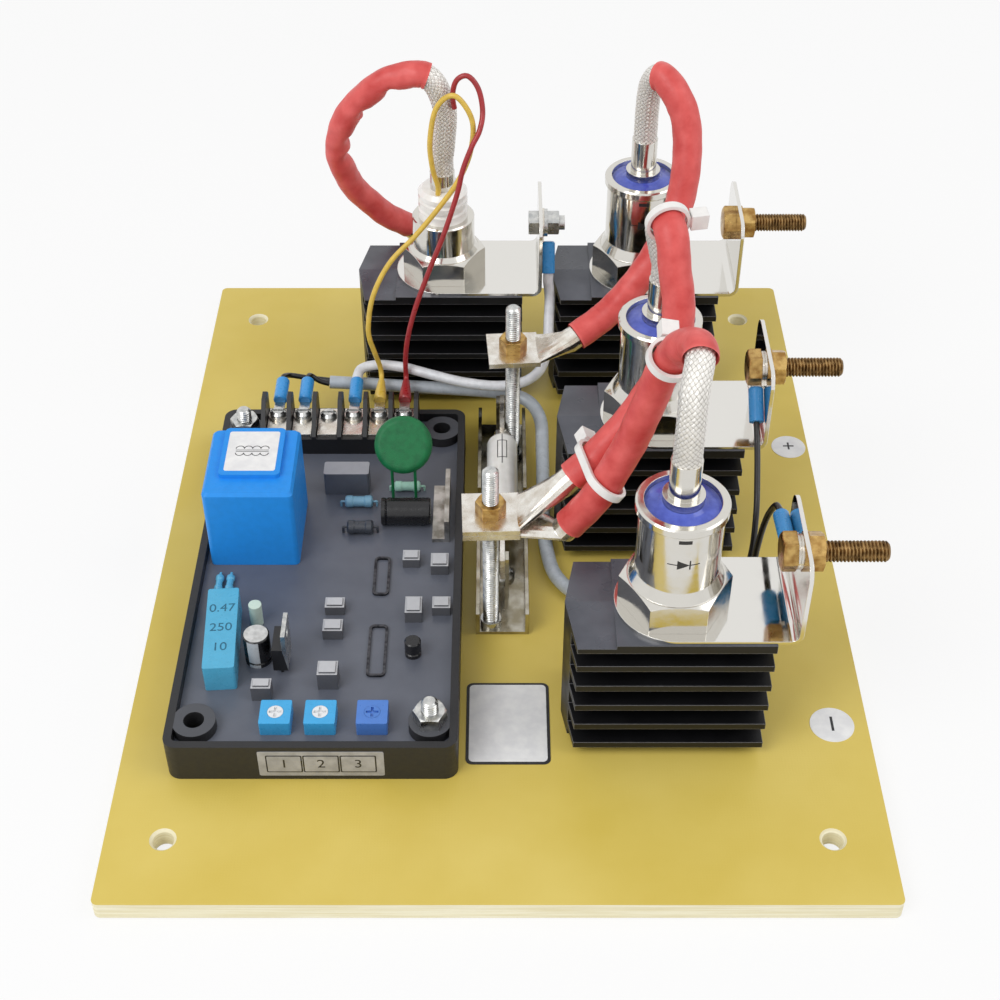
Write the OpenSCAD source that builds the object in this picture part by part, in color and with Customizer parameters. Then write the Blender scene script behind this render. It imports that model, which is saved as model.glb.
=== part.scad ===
// Automatic voltage regulator: a potted control module and four stud-mounted power
// devices on finned heatsinks, all carried by one insulating board.
// Origin: centre of the board's underside. +X right, +Y to the rear, +Z up. Millimetres.

/* [Base board] */
// Board width, left to right
board_w = 220; // [216:1:260]
// Board length, front to rear
board_l = 290; // [280:1:340]
// Board thickness
board_t = 6; // [5:0.5:10]
// Corner radius of the board
board_corner_r = 2; // [1:0.5:6]
// Diameter of the four fixing holes
fix_hole_d = 6; // [4:0.1:8]
// Fixing hole spacing, left to right
fix_spacing_x = 187; // [180:1:200]
// Fixing hole spacing, front to rear
fix_spacing_y = 247; // [240:1:262]
// Depth of the bevel round each fixing hole
fix_bevel = 0.8; // [0.2:0.1:1.5]

/* [Heatsinks] */
// Length of the square-cut part of a heatsink, left to right
sink_w = 55; // [50:0.5:58]
// Depth of a heatsink, front to rear
sink_d = 34.5; // [30:0.5:40]
// Height of a heatsink
sink_h = 46.5; // [38:0.5:60]
// Length of the mitred point on the left end
sink_point = 3; // [1:0.5:6]
// Fin thickness
fin_t = 2.2; // [1.5:0.1:3]
// Fin spacing, counted down from the top plate
fin_pitch = 8.15; // [6:0.05:10]
// Thickness of the top plate
sink_top_t = 3; // [2:0.2:5]
// Thickness of the upright web
sink_web_t = 18; // [15:0.5:22]
// Fall of the roof slopes beside the ridge on the left wing
ridge_fall = 1.2; // [0.4:0.1:2]
// Device axis of the right-hand column
sink_right_x = 49.3; // [46:0.1:52]
// Device axis of the left-hand heatsink
sink_left_x = -19; // [-22:0.1:-17]
// Device axis of the front heatsink
sink_front_y = -76.25; // [-80:0.25:-72]
// Spacing of the heatsinks, front to rear
sink_pitch_y = 82.75; // [80:0.25:85]
// Spacing of the two screws under a heatsink
sink_screw_spacing = 40; // [32:1:44]

/* [Busbars] */
// Plate thickness
busbar_t = 1.2; // [0.8:0.1:3]
// Plate depth, front to rear
busbar_d = 33.5; // [28:0.5:38]
// Device axis to the outer face of the upright flange
flange_reach = 34.2; // [31:0.1:38]
// Height of the flange above the plate
flange_h = 26.8; // [23:0.1:32]
// Outside radius of the bend
bend_r = 3.5; // [3.2:0.1:6]
// Bolt axis above the plate
flange_bolt_h = 18.3; // [12:0.1:19]
// Corner radius of the flange
flange_corner_r = 5; // [1:0.5:8]

/* [Rectifier diodes] */
// Hexagon width across the flats
diode_af = 27.5; // [24:0.5:30]
// Hexagon height
diode_hex_h = 10; // [8:0.5:13]
// Height of the sloping shoulder above the hexagon
diode_shoulder_h = 3.5; // [2:0.5:5]
// Can diameter
diode_can_d = 23.6; // [20:0.2:24]
// Height from the hexagon to the top of the rim
diode_can_h = 27.3; // [20:0.1:32]
// Rim diameter
diode_rim_d = 25.6; // [24.6:0.2:27]
// Rim height
diode_rim_h = 2.6; // [1.5:0.1:4]
// Seal diameter
diode_seal_d = 21; // [17:0.2:22]
// Depth of the seal below the rim
diode_seal_depth = 4; // [3:0.1:6]
// Mounting stud diameter
diode_stud_d = 10; // [8:0.5:12]
// Mounting stud length below the hexagon
diode_stud_l = 20; // [14:0.5:26]

/* [Thyristor] */
// Hexagon width across the flats
thy_af = 25; // [22:0.5:27]
// Hexagon height
thy_hex_h = 9; // [7:0.5:11]
// Can diameter
thy_can_d = 21.6; // [19:0.2:22]
// Height from the hexagon to the top of the can
thy_can_h = 12.8; // [9:0.1:15]
// Ceramic diameter
thy_ceramic_d = 17; // [14:0.2:18]
// Ceramic height above the can
thy_ceramic_h = 11; // [8:0.5:14]
// Number of grooves round the ceramic
thy_groove_count = 2; // [1:1:3]

/* [Terminal tubes and pigtails] */
// Outer diameter of the crimped terminal tube
tube_d = 8.6; // [7:0.1:10]
// Tube height above the diode rim
tube_h = 14; // [8:0.5:18]
// Collar diameter at the foot of the tube
tube_collar_d = 11.6; // [10.4:0.1:14]
// Collar height
tube_collar_h = 2.5; // [1.5:0.1:4]
// Braid diameter
braid_d = 8; // [6:0.1:9]
// Diode sleeve diameter
sleeve_d = 9.8; // [9:0.1:10.4]
// Thyristor sleeve diameter
thy_sleeve_d = 9; // [9:0.1:12]

/* [Cable lugs and posts] */
// Palm width of a cable lug
lug_w = 17; // [14:0.5:18]
// Palm thickness
lug_t = 1.8; // [1.2:0.1:2.4]
// Barrel diameter
lug_barrel_d = 8; // [6:0.1:8.8]
// Barrel length
lug_barrel_l = 3; // [2:0.5:4]
// Thread diameter of the posts and module studs
post_d = 5; // [4:0.1:5.6]
// Height of the front and rear posts above the board
post_h = 65; // [62:0.5:80]
// Height of the upper lug face above the board
post_lug_h = 48.4; // [46:0.2:52]
// Height of the third post, behind the thyristor
back_post_h = 44; // [40:0.5:50]
// Height of the third post's lug face above the board
back_lug_h = 32; // [28:0.5:34]
// Width across the flats of the post nuts
post_nut_af = 8; // [7.5:0.1:9]
// Height of the post nuts
post_nut_h = 4.4; // [3:0.1:5]
// Height of the thin nut under a lug
thin_nut_h = 2.4; // [1.6:0.1:3]
// Cable tie strap width
tie_w = 2.4; // [2:0.1:5]
// Cable tie strap thickness
tie_t = 1.1; // [0.8:0.1:1.6]

/* [Terminal bolts and ring terminals] */
// Terminal bolt diameter
bolt_d = 6; // [5:0.1:8]
// Width across the flats of the bolt heads and nuts
bolt_af = 10; // [9:0.1:13]
// Bolt head height
bolt_head_h = 4.2; // [3:0.1:6]
// Nut height
bolt_nut_h = 4.2; // [4:0.1:6.5]
// Washer thickness
washer_t = 1.2; // [0.8:0.1:2]
// Free length of the bolt past the nut
bolt_free = 18; // [10:0.5:19]
// Flange screw diameter
flange_screw_d = 5; // [4:0.1:6]
// Width across the flats of the flange screw
flange_screw_af = 8; // [7:0.1:10]
// Ring terminal thickness
ring_t = 0.8; // [0.6:0.1:1]
// Ring diameter
ring_d = 10; // [9:0.1:12]
// Stud to the near end of the insulating sleeve
ring_neck = 6.5; // [5.5:0.1:8]
// Insulating sleeve length
ring_sleeve_l = 11; // [8:0.5:13]
// Insulating sleeve diameter
ring_sleeve_d = 4.6; // [3.6:0.1:5]

/* [Control module] */
// Module centre, left to right
mod_x = -53.5; // [-58:0.5:-52]
// Module centre, front to rear
mod_y = -26; // [-32:0.5:-25]
// Tray width
mod_w = 84; // [82:0.5:90]
// Tray length
mod_l = 152.5; // [150:0.5:156]
// Tray height
mod_h = 14; // [12:0.5:17]
// Tray wall thickness
mod_wall = 2.4; // [1.6:0.1:3]
// Tray floor thickness
mod_floor = 2.5; // [1.5:0.1:4]
// Tray corner radius
mod_corner_r = 4; // [2.5:0.5:8]
// Corner boss diameter
boss_d = 12.6; // [11:0.1:14]
// Boss spacing, left to right
boss_spacing_x = 68; // [65:0.5:70]
// Boss spacing, front to rear
boss_spacing_y = 132; // [128:0.5:136]
// Hole through a boss
boss_hole_d = 6; // [5.8:0.1:7]
// Circuit board thickness
pcb_t = 1.6; // [1:0.1:2.4]
// Width of the ledge under the circuit board
pcb_ledge = 1.5; // [1:0.1:3]
// Height of the ledge above the tray floor
pcb_ledge_h = 2.5; // [1:0.1:3]
// Top of the potting above the base board
resin_level = 10.5; // [9:0.1:11.5]

/* [Transformer] */
// Transformer width
trafo_w = 28.2; // [24:0.2:30]
// Transformer length
trafo_l = 31.8; // [28:0.2:33]
// Transformer height above the potting
trafo_h = 30; // [24:0.5:36]
// Edge radius of the case
trafo_r = 1.6; // [0.8:0.1:3]
// Height of the raised pad on top
trafo_pad_h = 1.6; // [0.8:0.1:3]

/* [Terminal block] */
// Number of ways
way_count = 6; // [2:1:6]
// Spacing of the ways
way_pitch = 8.7; // [8.2:0.1:9.2]
// Block depth, front to rear
block_d = 17; // [15.5:0.5:17.5]
// Height of the terminal plates above the potting
block_plate_h = 6.5; // [5:0.1:8]
// Height of the barriers above the potting
barrier_h = 15.5; // [12:0.5:18]
// Barrier thickness
barrier_t = 1.5; // [1.1:0.1:1.8]

/* [Trimmers] */
// Side of a trimmer body
trimmer_s = 9; // [8:0.1:10]
// Trimmer body height above the potting
trimmer_h = 5; // [4:0.1:7]
// Adjuster diameter
adjuster_d = 4.6; // [4:0.1:6]
// Adjuster height
adjuster_h = 1.8; // [1.2:0.1:2.4]
// Running clearance round an adjuster
adjuster_gap = 0.05; // [0.02:0.01:0.1]
// Screwdriver slot width
slot_w = 0.8; // [0.5:0.1:1.2]
// Screwdriver slot depth
slot_depth = 0.7; // [0.4:0.1:1]

/* [Fuse] */
// Bracket width
bracket_w = 16.6; // [14.5:0.2:18]
// Bracket length
bracket_l = 43; // [40:0.5:45]
// Height of the bracket's side walls
bracket_h = 9; // [6:0.5:11]
// Sheet thickness of the brackets
bracket_t = 1.2; // [0.8:0.1:1.8]
// Fuse axis above the board
fuse_axis_h = 13.5; // [13:0.5:16]
// Fuse barrel diameter
fuse_d = 10.4; // [8:0.2:11.4]
// Fuse barrel length
fuse_l = 42; // [34:0.5:43]
// Width of the knife tags
tag_w = 8; // [6:0.2:9]
// Thickness of the knife tags
tag_t = 1.6; // [1:0.1:2]
// Length of the knife tags
tag_l = 17; // [15:0.5:18]

/* [Leads] */
// Gate lead diameter
gate_lead_d = 1.8; // [1.2:0.1:1.9]
// White lead diameter
white_lead_d = 3.6; // [2.4:0.1:3.8]
// Harness sleeve diameter
harness_d = 4.6; // [3.6:0.1:4.8]
// Black lead diameter
black_lead_d = 1.9; // [1.4:0.1:2]

/* [Hidden] */

$fn = 48;

// Clearance of a screw in its hole, on the diameter
screw_play = 0.3;
// Radial clearance of pieces that are set into one another
seat_gap = 0.05;
// How far a cutting shape runs past the face it cuts
over = 1;
// Gap between stacked lug palms
palm_gap = 0.05;
// Rows of the power devices, front to rear
row_y = [for (k = [0 : 2]) sink_front_y + k * sink_pitch_y];
// Top of the busbar plates, where the devices seat
deck_z = board_t + sink_h + busbar_t;
// Axis height of the flange bolts
flange_bolt_z = deck_z + flange_bolt_h;
// Top of the potting, where the module's components stand
resin_z = board_t + resin_level;
// Top of the diode terminal tubes, where the braids begin
diode_tube_z = deck_z + diode_hex_h + diode_can_h + tube_h;
// Top of the thyristor ceramic
thy_top_z = deck_z + thy_hex_h + thy_can_h + thy_ceramic_h;
// Height of the thyristor's terminal tube above its ceramic, and its top
thy_tube_h = 6;
thy_tube_z = thy_top_z + thy_tube_h;
// Screw in the board: shank and head
board_screw_d = 5;
board_screw_head_d = 9.6;
board_screw_bite = 12;

// Post places: front, rear and behind the thyristor
front_post = [-2.2, -41];
rear_post = [5, 40];
back_post = [-22, 124];

// Fuse brackets: their middle and their front edges
bracket_x = 1.4;
bracket_front_y = [-45, 14.5];
// Pan-head screw of each bracket
bracket_screw_y = [-20, 21];
bracket_screw_head_d = 8;
bracket_screw_head_h = 2.6;
// Middle of the fuse barrel
fuse_mid_y = 12;
// Neck between barrel and tag
fuse_neck_d = 5.6;
fuse_neck_l = 4;

// Module component places, from the module's centre
trafo_at = [-23.9, 17.4];
block_at = [-0.7, 64.7];
varistor_at = [22.6, 31];
grey_film_at = [3.2, 38.4];
blue_film_at = [-29.4, -35];
upright_can_at = [-18.4, -39];
small_can_at = [27.9, -37];
lying_can_at = [23.5, 22];
transistor_at = [-10.8, -41.5];
spreader_at = [36.2, 25];
trimmer_at = [[-10.6, -64.2], [2.3, -64.2], [17.3, -64.2]];
// Small moulded blocks: place, width, length and height
block_parts = [
    [25.9, 2.5, 5.4, 4.6, 4], [35, 0, 5.6, 6, 4.4], [27.5, -20.5, 5.2, 7, 5],
    [36, -18.5, 5.6, 5, 4], [3.1, -18.6, 6, 4.4, 4], [3.2, -28.6, 6, 5, 4.4],
    [3.3, -48.5, 6, 5.6, 7], [-15.8, -53.7, 5.8, 4, 6]
];
// Axial parts: place, body diameter, body length and turn from X
axial_parts = [
    [7.5, 29.6, 4, 9, 0], [23.2, 37.4, 3.6, 8.6, 0], [8.7, 16.8, 4.6, 8.4, 0],
    [-34.2, -8.2, 2.6, 6.6, 90], [-30.8, -8.2, 2.6, 6.6, 90]
];
// Upright resistor beside the electrolytic capacitor
upright_resistor_at = [-20.6, -24];
// Wire loops: place, width and length
link_loops = [[16.7, -4, 5.2, 17], [17, -36, 5.8, 21]];
link_wire_d = 0.8;
link_bend_r = 1.6;

// Places along the terminal block
way_x = [for (k = [0 : way_count - 1])
    mod_x + block_at.x + (k - (way_count - 1) / 2) * way_pitch];
// Ways that carry a blue ring terminal, and ways of the gate leads
white_way = 3;
blue_ways = [0, 1, white_way];
yellow_way = 4;
red_way = 5;
ring_ways = concat(blue_ways, [yellow_way, red_way]);
// Screw line and height of the terminal plates
way_set_back = 3;
way_y = mod_y + block_at.y + way_set_back;
way_z = resin_z + block_plate_h;
plate_t = 1;
way_screw_d = 3.4;
way_screw_head_d = 5.6;
way_screw_head_h = 1.8;

// Direction of each flange ring terminal, turned about X from straight up
front_ring_turn = -98;
middle_ring_turn = 128;
thyristor_ring_turn = 152;
// Sleeve axis of a flange ring terminal, off the flange's face
flange_rise = ring_sleeve_d / 2 + 2 * seat_gap;
// Direction of a flange ring terminal, and where the lead leaves its sleeve of axis x
function ring_way(turn) = [0, -sin(turn), cos(turn)];
function ring_mouth(turn, x, y) = [x, y, flange_bolt_z] + (ring_neck + ring_sleeve_l) * ring_way(turn);
// Left and right faces of a flange
function flange_in(x) = x + flange_reach - busbar_t;
function flange_out(x) = x + flange_reach;
// Sleeve axis of a ring terminal on the terminal block, above its contact plate
way_rise = ring_t + 0.6;
// Direction of the ring terminals on the terminal block, and where their leads leave them
way_out = [0, 1, 0];
function way_mouth(k) =
    [way_x[k], way_y + ring_neck + ring_sleeve_l, way_z + plate_t + way_rise];
// Points of a lead that leaves or enters a sleeve straight, in the direction way
straight_l = 1.5;
function straight_out(mouth, way) = [for (k = [0 : 2]) mouth + k * straight_l * way];
function straight_in(mouth, way) = [for (k = [2, 1, 0]) mouth + k * straight_l * way];

// First points of a pigtail, straight up from its terminal tube
straight_rise = 2.5;
function tube_rise(x, y, z) = [for (k = [0 : 2]) [x, y, z + k * straight_rise]];
// Routes of the pigtails: all but the first points are chosen by hand
front_route = concat(tube_rise(sink_right_x, row_y[0], diode_tube_z), [
    [49.5, -75.5, 116], [50, -72.5, 125], [51.5, -66, 130], [51, -59, 129], [48, -52, 123],
    [45, -47.5, 113], [42, -45.5, 100], [38, -44.5, 86], [33, -44.8, 73], [27, -45, 61.5], [21, -45, 53]
]);
middle_route = concat(tube_rise(sink_right_x, row_y[1], diode_tube_z), [
    [48, 7, 115.5], [46.6, 7, 123], [48, 2.5, 128.5], [49.3, -4, 126.4], [50.4, -8.5, 119],
    [51.8, -13, 109.5], [51.4, -17.5, 100.5], [48, -22, 92.5], [43, -26, 85], [35.5, -30, 76],
    [28.5, -33, 69], [22, -35, 63]
]);
rear_route = concat(tube_rise(sink_right_x, row_y[2], diode_tube_z), [
    [49.3, 89, 116], [49.8, 88, 125], [52, 85, 130], [56, 81, 128], [60, 77, 121], [61.5, 73, 112],
    [61, 68, 102], [58, 63, 91], [52, 58, 79], [44, 53, 69], [35, 47.5, 61.5], [26, 43, 57]
]);
thyristor_route = concat(tube_rise(sink_left_x, row_y[2], thy_tube_z), [
    [-18.2, 89, 104], [-17.8, 89, 117], [-23, 89, 127.6], [-34, 90, 126.6], [-44, 91.5, 119.5],
    [-51.5, 94.2, 108.5], [-54.6, 97.5, 97], [-53.6, 101, 85.5], [-49.5, 104.5, 75.5], [-43.5, 108, 66.5],
    [-38, 111, 60], [-33, 114, 55]
]);
// Number of route points at the start of each pigtail over which the braid is bare
braid_points = 5;
// Steps between neighbouring route points
pigtail_steps = 3;
lead_steps = 3;

// Routes of the thin leads, from the thyristor to the terminal block
yellow_route = [
    [-20.4, 83.7, thy_top_z + seat_gap], [-20.4, 83.7, 90], [-22, 82.5, 98], [-22.5, 82.5, 108],
    [-20, 82.5, 120], [-14, 81, 125], [-8.5, 80, 117], [-9, 79.4, 106], [-13, 77.7, 96],
    [-19.5, 75.5, 87], [-28, 73, 77], [-37, 70, 68], [-43, 66, 57], [-45, 62.5, 45], [-43.2, 62, 36],
    [-41.8, 62.8, 30], [-41.3, 62, 26.6], way_mouth(yellow_way)
];
red_route = [
    [-14.3, 85.6, 118], [-14.8, 85.6, 123], [-13.4, 85.8, 128], [-9.8, 85.6, 129.6], [-6.4, 84.6, 125.6],
    [-5, 82, 119], [-6, 78.2, 114], [-8.6, 75.6, 109.5], [-11.6, 73.6, 102], [-13.6, 72.4, 93.5],
    [-18.2, 70.2, 79.5], [-23.2, 68, 67], [-28.4, 65.4, 53], [-31.4, 63, 42], [-32.5, 61.8, 33],
    [-32.5, 61.2, 26.6], way_mouth(red_way)
];
white_mouth = ring_mouth(thyristor_ring_turn, flange_out(sink_left_x) + flange_rise, row_y[2]);
white_route = concat(
    straight_out(white_mouth, ring_way(thyristor_ring_turn)),
    [
        [18.2, 77, 48.5], [17.9, 72.5, 42], [17.4, 66.5, 36], [15, 60.5, 30], [9, 57, 27], [0, 56, 26],
        [-12, 58, 26], [-24, 62, 26.5], [-34, 65.5, 27], [-43, 66.8, 27], [-48.5, 65.6, 26.2]
    ],
    straight_in(way_mouth(white_way), way_out));
harness_route = [
    [-60, 64, 21.5], [-45, 64, 20.5], [-28, 63, 20], [-10, 62, 19.5], [3, 60.5, 19],
    [11, 57, 18], [15, 49, 16], [15.4, 36, 13], [15.4, 22, 10.5], [15.2, 6, 9],
    [16, -9, 8.6], [19, -22, 8.6], [27, -31, 8.6], [40, -35, 8.6], [56, -36, 8.6]
];
// The two leads of the harness, bare of the sleeve at both ends
first_lead_in = concat(
    [[-60.1, 65, 21.5], [-68, 65.8, 22], [-74, 65.4, 23.4]],
    straight_in(way_mouth(0), way_out));
second_lead_in = concat(
    [[-60.1, 63, 21.5], [-63.5, 63.4, 22.4], [-66.6, 64.2, 24.2]],
    straight_in(way_mouth(1), way_out));
front_mouth = ring_mouth(front_ring_turn, flange_in(sink_right_x) - flange_rise, row_y[0]);
front_lead_out = concat(
    [
        [56.3, -37, 8.6], [66, -41, 9], [73, -46, 14], [76, -47.5, 28], [77, -47.5, 46], [78.3, -48, 58],
        [79.6, -51.5, 66.5]
    ],
    straight_in(front_mouth, ring_way(front_ring_turn)));
middle_mouth = ring_mouth(middle_ring_turn, flange_in(sink_right_x) - flange_rise, row_y[1]);
middle_lead_out = concat(
    [
        [56.1, -35, 8.6], [68, -35, 9], [75, -35.5, 15], [78, -35, 30], [79, -30, 43], [79.6, -20.5, 51.5],
        [79.9, -13.5, 56.4]
    ],
    straight_in(middle_mouth, ring_way(middle_ring_turn)));

// Unit vector along v
function unit(v) = v / norm(v);
// One point of a smooth curve between b and c, with neighbours a and d
function curve_point(a, b, c, d, t) =
    0.5 * (2 * b + (c - a) * t + (2 * a - 5 * b + 4 * c - d) * t * t
        + (3 * b - a - 3 * c + d) * t * t * t);
// A smooth path through the points p, with n steps between neighbours
function smooth_path(p, n) =
    let (last = len(p) - 1)
    concat(
        [for (i = [0 : last - 1], k = [0 : n - 1])
            curve_point(p[max(i - 1, 0)], p[i], p[i + 1], p[min(i + 2, last)], k / n)],
        [p[last]]);
// Direction of a path at each of its points
function path_directions(q) =
    let (last = len(q) - 1)
    [for (i = [0 : last]) unit(q[min(i + 1, last)] - q[max(i - 1, 0)])];
// A vector square to v
function square_to(v) = unit(cross(v, abs(v.z) < 0.8 ? [0, 0, 1] : [1, 0, 0]));
// Sideways vectors carried along the directions t without twisting
function carried_sides(t) =
    let (last = len(t) - 1)
    [for (i = 0, s = square_to(t[0]); i <= last;
        s = unit(s - (s * t[min(i + 1, last)]) * t[min(i + 1, last)]), i = i + 1) s];
// Closed skin over a stack of rings that have the same number of corners
module skin(rings) {
    sides = len(rings[0]);
    top = len(rings) - 1;
    corners = [for (ring = rings, corner = ring) corner];
    walls = [for (i = [0 : top - 1], j = [0 : sides - 1], half = [0, 1])
        let (
            here = i * sides + j,
            next = i * sides + (j + 1) % sides,
            above = here + sides,
            above_next = next + sides
        )
        half == 0 ? [here, above, above_next] : [here, above_next, next]];
    start_cap = [for (j = [0 : sides - 1]) j];
    end_cap = [for (j = [sides - 1 : -1 : 0]) top * sides + j];
    polyhedron(points = corners, faces = concat(walls, [start_cap, end_cap]));
}

// Round cord along a path, from ring number first to ring number last
module cord(path, d, sides, first, last) {
    along = path_directions(path);
    side = carried_sides(along);
    skin([for (i = [first : last])
        ring_points(path[i], side[i], cross(along[i], side[i]), d, d, 1, sides)]);
}
// Ring of corners round p in the plane of the vectors side and up, w wide and t thick;
// a bulge of 1 gives an oval, and a smaller one squares it off
function ring_points(p, side, up, w, t, bulge, sides) =
    [for (j = [0 : sides - 1])
        let (a = 360 * (j + 0.5) / sides)
        p + w / 2 * sign(cos(a)) * pow(abs(cos(a)), bulge) * side
          + t / 2 * sign(sin(a)) * pow(abs(sin(a)), bulge) * up];

// Lead along a whole route
module lead(route, d, sides) {
    path = smooth_path(route, lead_steps);
    cord(path, d, sides, 0, len(path) - 1);
}

// Plate with rounded corners, standing on Z = 0
module rounded_plate(w, l, h, r) {
    linear_extrude(h) {
        square([w - 2 * r, l], center = true);
        square([w, l - 2 * r], center = true);
        for (sx = [-1, 1], sy = [-1, 1])
            translate([sx * (w / 2 - r), sy * (l / 2 - r)]) circle(r);
    }
}

// Hexagon prism with its corners bevelled at the top, flats facing +Y and -Y
module hexagon(af, h) {
    corner_r = af / 2 / cos(30);
    bevel = corner_r - af / 2;
    intersection() {
        cylinder(r = corner_r, h = h, $fn = 6);
        union() {
            cylinder(r = corner_r + over, h = h - bevel / 2);
            translate([0, 0, h - bevel / 2]) cylinder(r1 = corner_r, r2 = af / 2, h = bevel / 2);
        }
    }
}

// Hexagon nut
module hex_nut(af, h, bore) {
    difference() {
        hexagon(af, h);
        translate([0, 0, -over]) cylinder(d = bore, h = h + 2 * over);
    }
}

// Countersunk hole in the underside of the board
module countersunk_hole(at) {
    translate([at.x, at.y, -over])
        cylinder(d = board_screw_d + screw_play, h = board_t + 2 * over);
    translate([at.x, at.y, 0])
        cylinder(d1 = board_screw_head_d + screw_play, d2 = board_screw_d + screw_play, h = head_sink);
    translate([at.x, at.y, -over])
        cylinder(d = board_screw_head_d + screw_play, h = over);
}
// Depth of a countersunk head
head_sink = (board_screw_head_d - board_screw_d) / 2;

// Places of the heatsinks: front, middle, rear and thyristor
sink_at = [
    [sink_right_x, row_y[0]], [sink_right_x, row_y[1]], [sink_right_x, row_y[2]],
    [sink_left_x, row_y[2]]
];
// Places of the heatsink screws
sink_screw_at = [for (s = sink_at, k = [-1, 1]) [s.x + k * sink_screw_spacing / 2, s.y]];
// Places of the module studs: front right and rear left bosses
module_stud_at = [
    [mod_x + boss_spacing_x / 2, mod_y - boss_spacing_y / 2],
    [mod_x - boss_spacing_x / 2, mod_y + boss_spacing_y / 2]
];
// Places of every stud that comes up through the board
stud_at = concat(module_stud_at, [front_post, rear_post, back_post]);
// Top of the module nuts' seat
boss_z = board_t + mod_h;
// Length of a module stud past its nut
module_stud_free = 4;

// Insulating base board
module base_board() {
    color("darkkhaki") difference() {
        rounded_plate(board_w, board_l, board_t, board_corner_r);
        for (sx = [-1, 1], sy = [-1, 1])
            translate([sx * fix_spacing_x / 2, sy * fix_spacing_y / 2, 0]) {
                translate([0, 0, -over]) cylinder(d = fix_hole_d, h = board_t + 2 * over);
                translate([0, 0, board_t - fix_bevel])
                    cylinder(d1 = fix_hole_d, d2 = fix_hole_d + 2 * fix_bevel, h = fix_bevel);
                translate([0, 0, board_t]) cylinder(d = fix_hole_d + 2 * fix_bevel, h = over);
            }
        for (p = sink_screw_at) countersunk_hole(p);
        for (p = stud_at) countersunk_hole(p);
        for (y = bracket_screw_y)
            translate([bracket_x, y, -over]) cylinder(d = bracket_screw_d, h = board_t + 2 * over);
    }
}
// Shank of the bracket screws
bracket_screw_d = 4;

// Countersunk heatsink screws and pan-head bracket screws
module board_screws() {
    color("silver") {
        for (p = sink_screw_at) translate([p.x, p.y, 0]) countersunk_screw(board_t + board_screw_bite);
        for (y = bracket_screw_y) translate([bracket_x, y, 0]) {
            cylinder(d = bracket_screw_d - 2 * seat_gap, h = board_t + bracket_t);
            translate([0, 0, board_t + bracket_t]) pan_head(bracket_screw_head_d, bracket_screw_head_h);
        }
    }
}

// Screw or stud with a countersunk head, standing on Z = 0
module countersunk_screw(l) {
    rotate_extrude() polygon([
        [0, 0], [board_screw_head_d / 2, 0], [board_screw_d / 2, head_sink],
        [board_screw_d / 2, l - stud_bevel], [board_screw_d / 2 - stud_bevel, l], [0, l]
    ]);
}
// Bevel on the end of a stud
stud_bevel = 0.8;

// Slotted pan head
module pan_head(d, h) {
    difference() {
        rotate_extrude() polygon([[0, 0], [d / 2, 0], [d / 2, h / 2], [d / 2 - h / 2, h], [0, h]]);
        translate([-d, -slot_w / 2, h - slot_depth]) cube([2 * d, slot_w, h]);
    }
}

// Stud of the post thread, with its countersunk head in the board
module post_stud(h) {
    rotate_extrude() polygon([
        [0, 0], [board_screw_head_d / 2, 0], [board_screw_d / 2, head_sink], [board_screw_d / 2, board_t],
        [post_d / 2, board_t], [post_d / 2, board_t + h - stud_bevel],
        [post_d / 2 - stud_bevel, board_t + h], [0, board_t + h]
    ]);
}

// Studs of the module and the three lug posts
module threaded_studs() {
    color("gainsboro") {
        for (p = module_stud_at)
            translate([p.x, p.y, 0]) post_stud(mod_h + post_nut_h + module_stud_free);
        for (p = [front_post, rear_post]) translate([p.x, p.y, 0]) post_stud(post_h);
        translate([back_post.x, back_post.y, 0]) post_stud(back_post_h);
    }
}

// Steel nuts on the module bosses and at the feet of the posts
module steel_nuts() {
    color("silver") {
        for (p = module_stud_at) translate([p.x, p.y, boss_z]) hex_nut(module_nut_af, post_nut_h, post_d);
        for (p = [front_post, rear_post]) translate([p.x, p.y, board_t + bracket_t]) difference() {
            cylinder(d = foot_collar_d, h = thin_nut_h);
            translate([0, 0, -over]) cylinder(d = post_d, h = thin_nut_h + 2 * over);
        }
        translate([back_post.x, back_post.y, board_t]) hex_nut(post_nut_af, thin_nut_h, post_d);
    }
}
// Diameter of the round nuts at the feet of the front and rear posts
foot_collar_d = 6.6;
// Width across the flats of the module nuts
module_nut_af = 8.6;

// Lower faces of the lug stacks: front carries two palms, the others one
front_stack_z = board_t + post_lug_h - 2 * lug_t - palm_gap;
rear_stack_z = board_t + post_lug_h - lug_t;
back_stack_z = board_t + back_lug_h - lug_t;

// Brass nuts of the posts and of the terminal bolts
module brass_nuts() {
    color("goldenrod") {
        for (s = [
            [front_post, front_stack_z, 2 * lug_t + palm_gap],
            [rear_post, rear_stack_z, lug_t],
            [back_post, back_stack_z, lug_t]
        ]) translate([s[0].x, s[0].y, s[1]]) {
            translate([0, 0, s[2]]) hex_nut(post_nut_af, post_nut_h, post_d);
            translate([0, 0, -thin_nut_h]) hex_nut(post_nut_af, thin_nut_h, post_d);
        }
        for (y = row_y) translate([flange_out(sink_right_x), y, flange_bolt_z]) rotate([0, 90, 0]) {
            difference() {
                cylinder(d = washer_d, h = washer_t);
                translate([0, 0, -over]) cylinder(d = bolt_d, h = washer_t + 2 * over);
            }
            translate([0, 0, washer_t + seat_gap]) hex_nut(bolt_af, bolt_nut_h, bolt_core_d);
        }
    }
}
// Washer diameter
washer_d = 11.6;
// Thread that the bolts' nuts fill: its depth, and its length past the nut
thread_depth = 0.5;
thread_run_out = 0.45;
bolt_core_d = bolt_d - 2 * thread_depth;

// Least height of the lowest fin above the board
fin_foot = 1;

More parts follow.
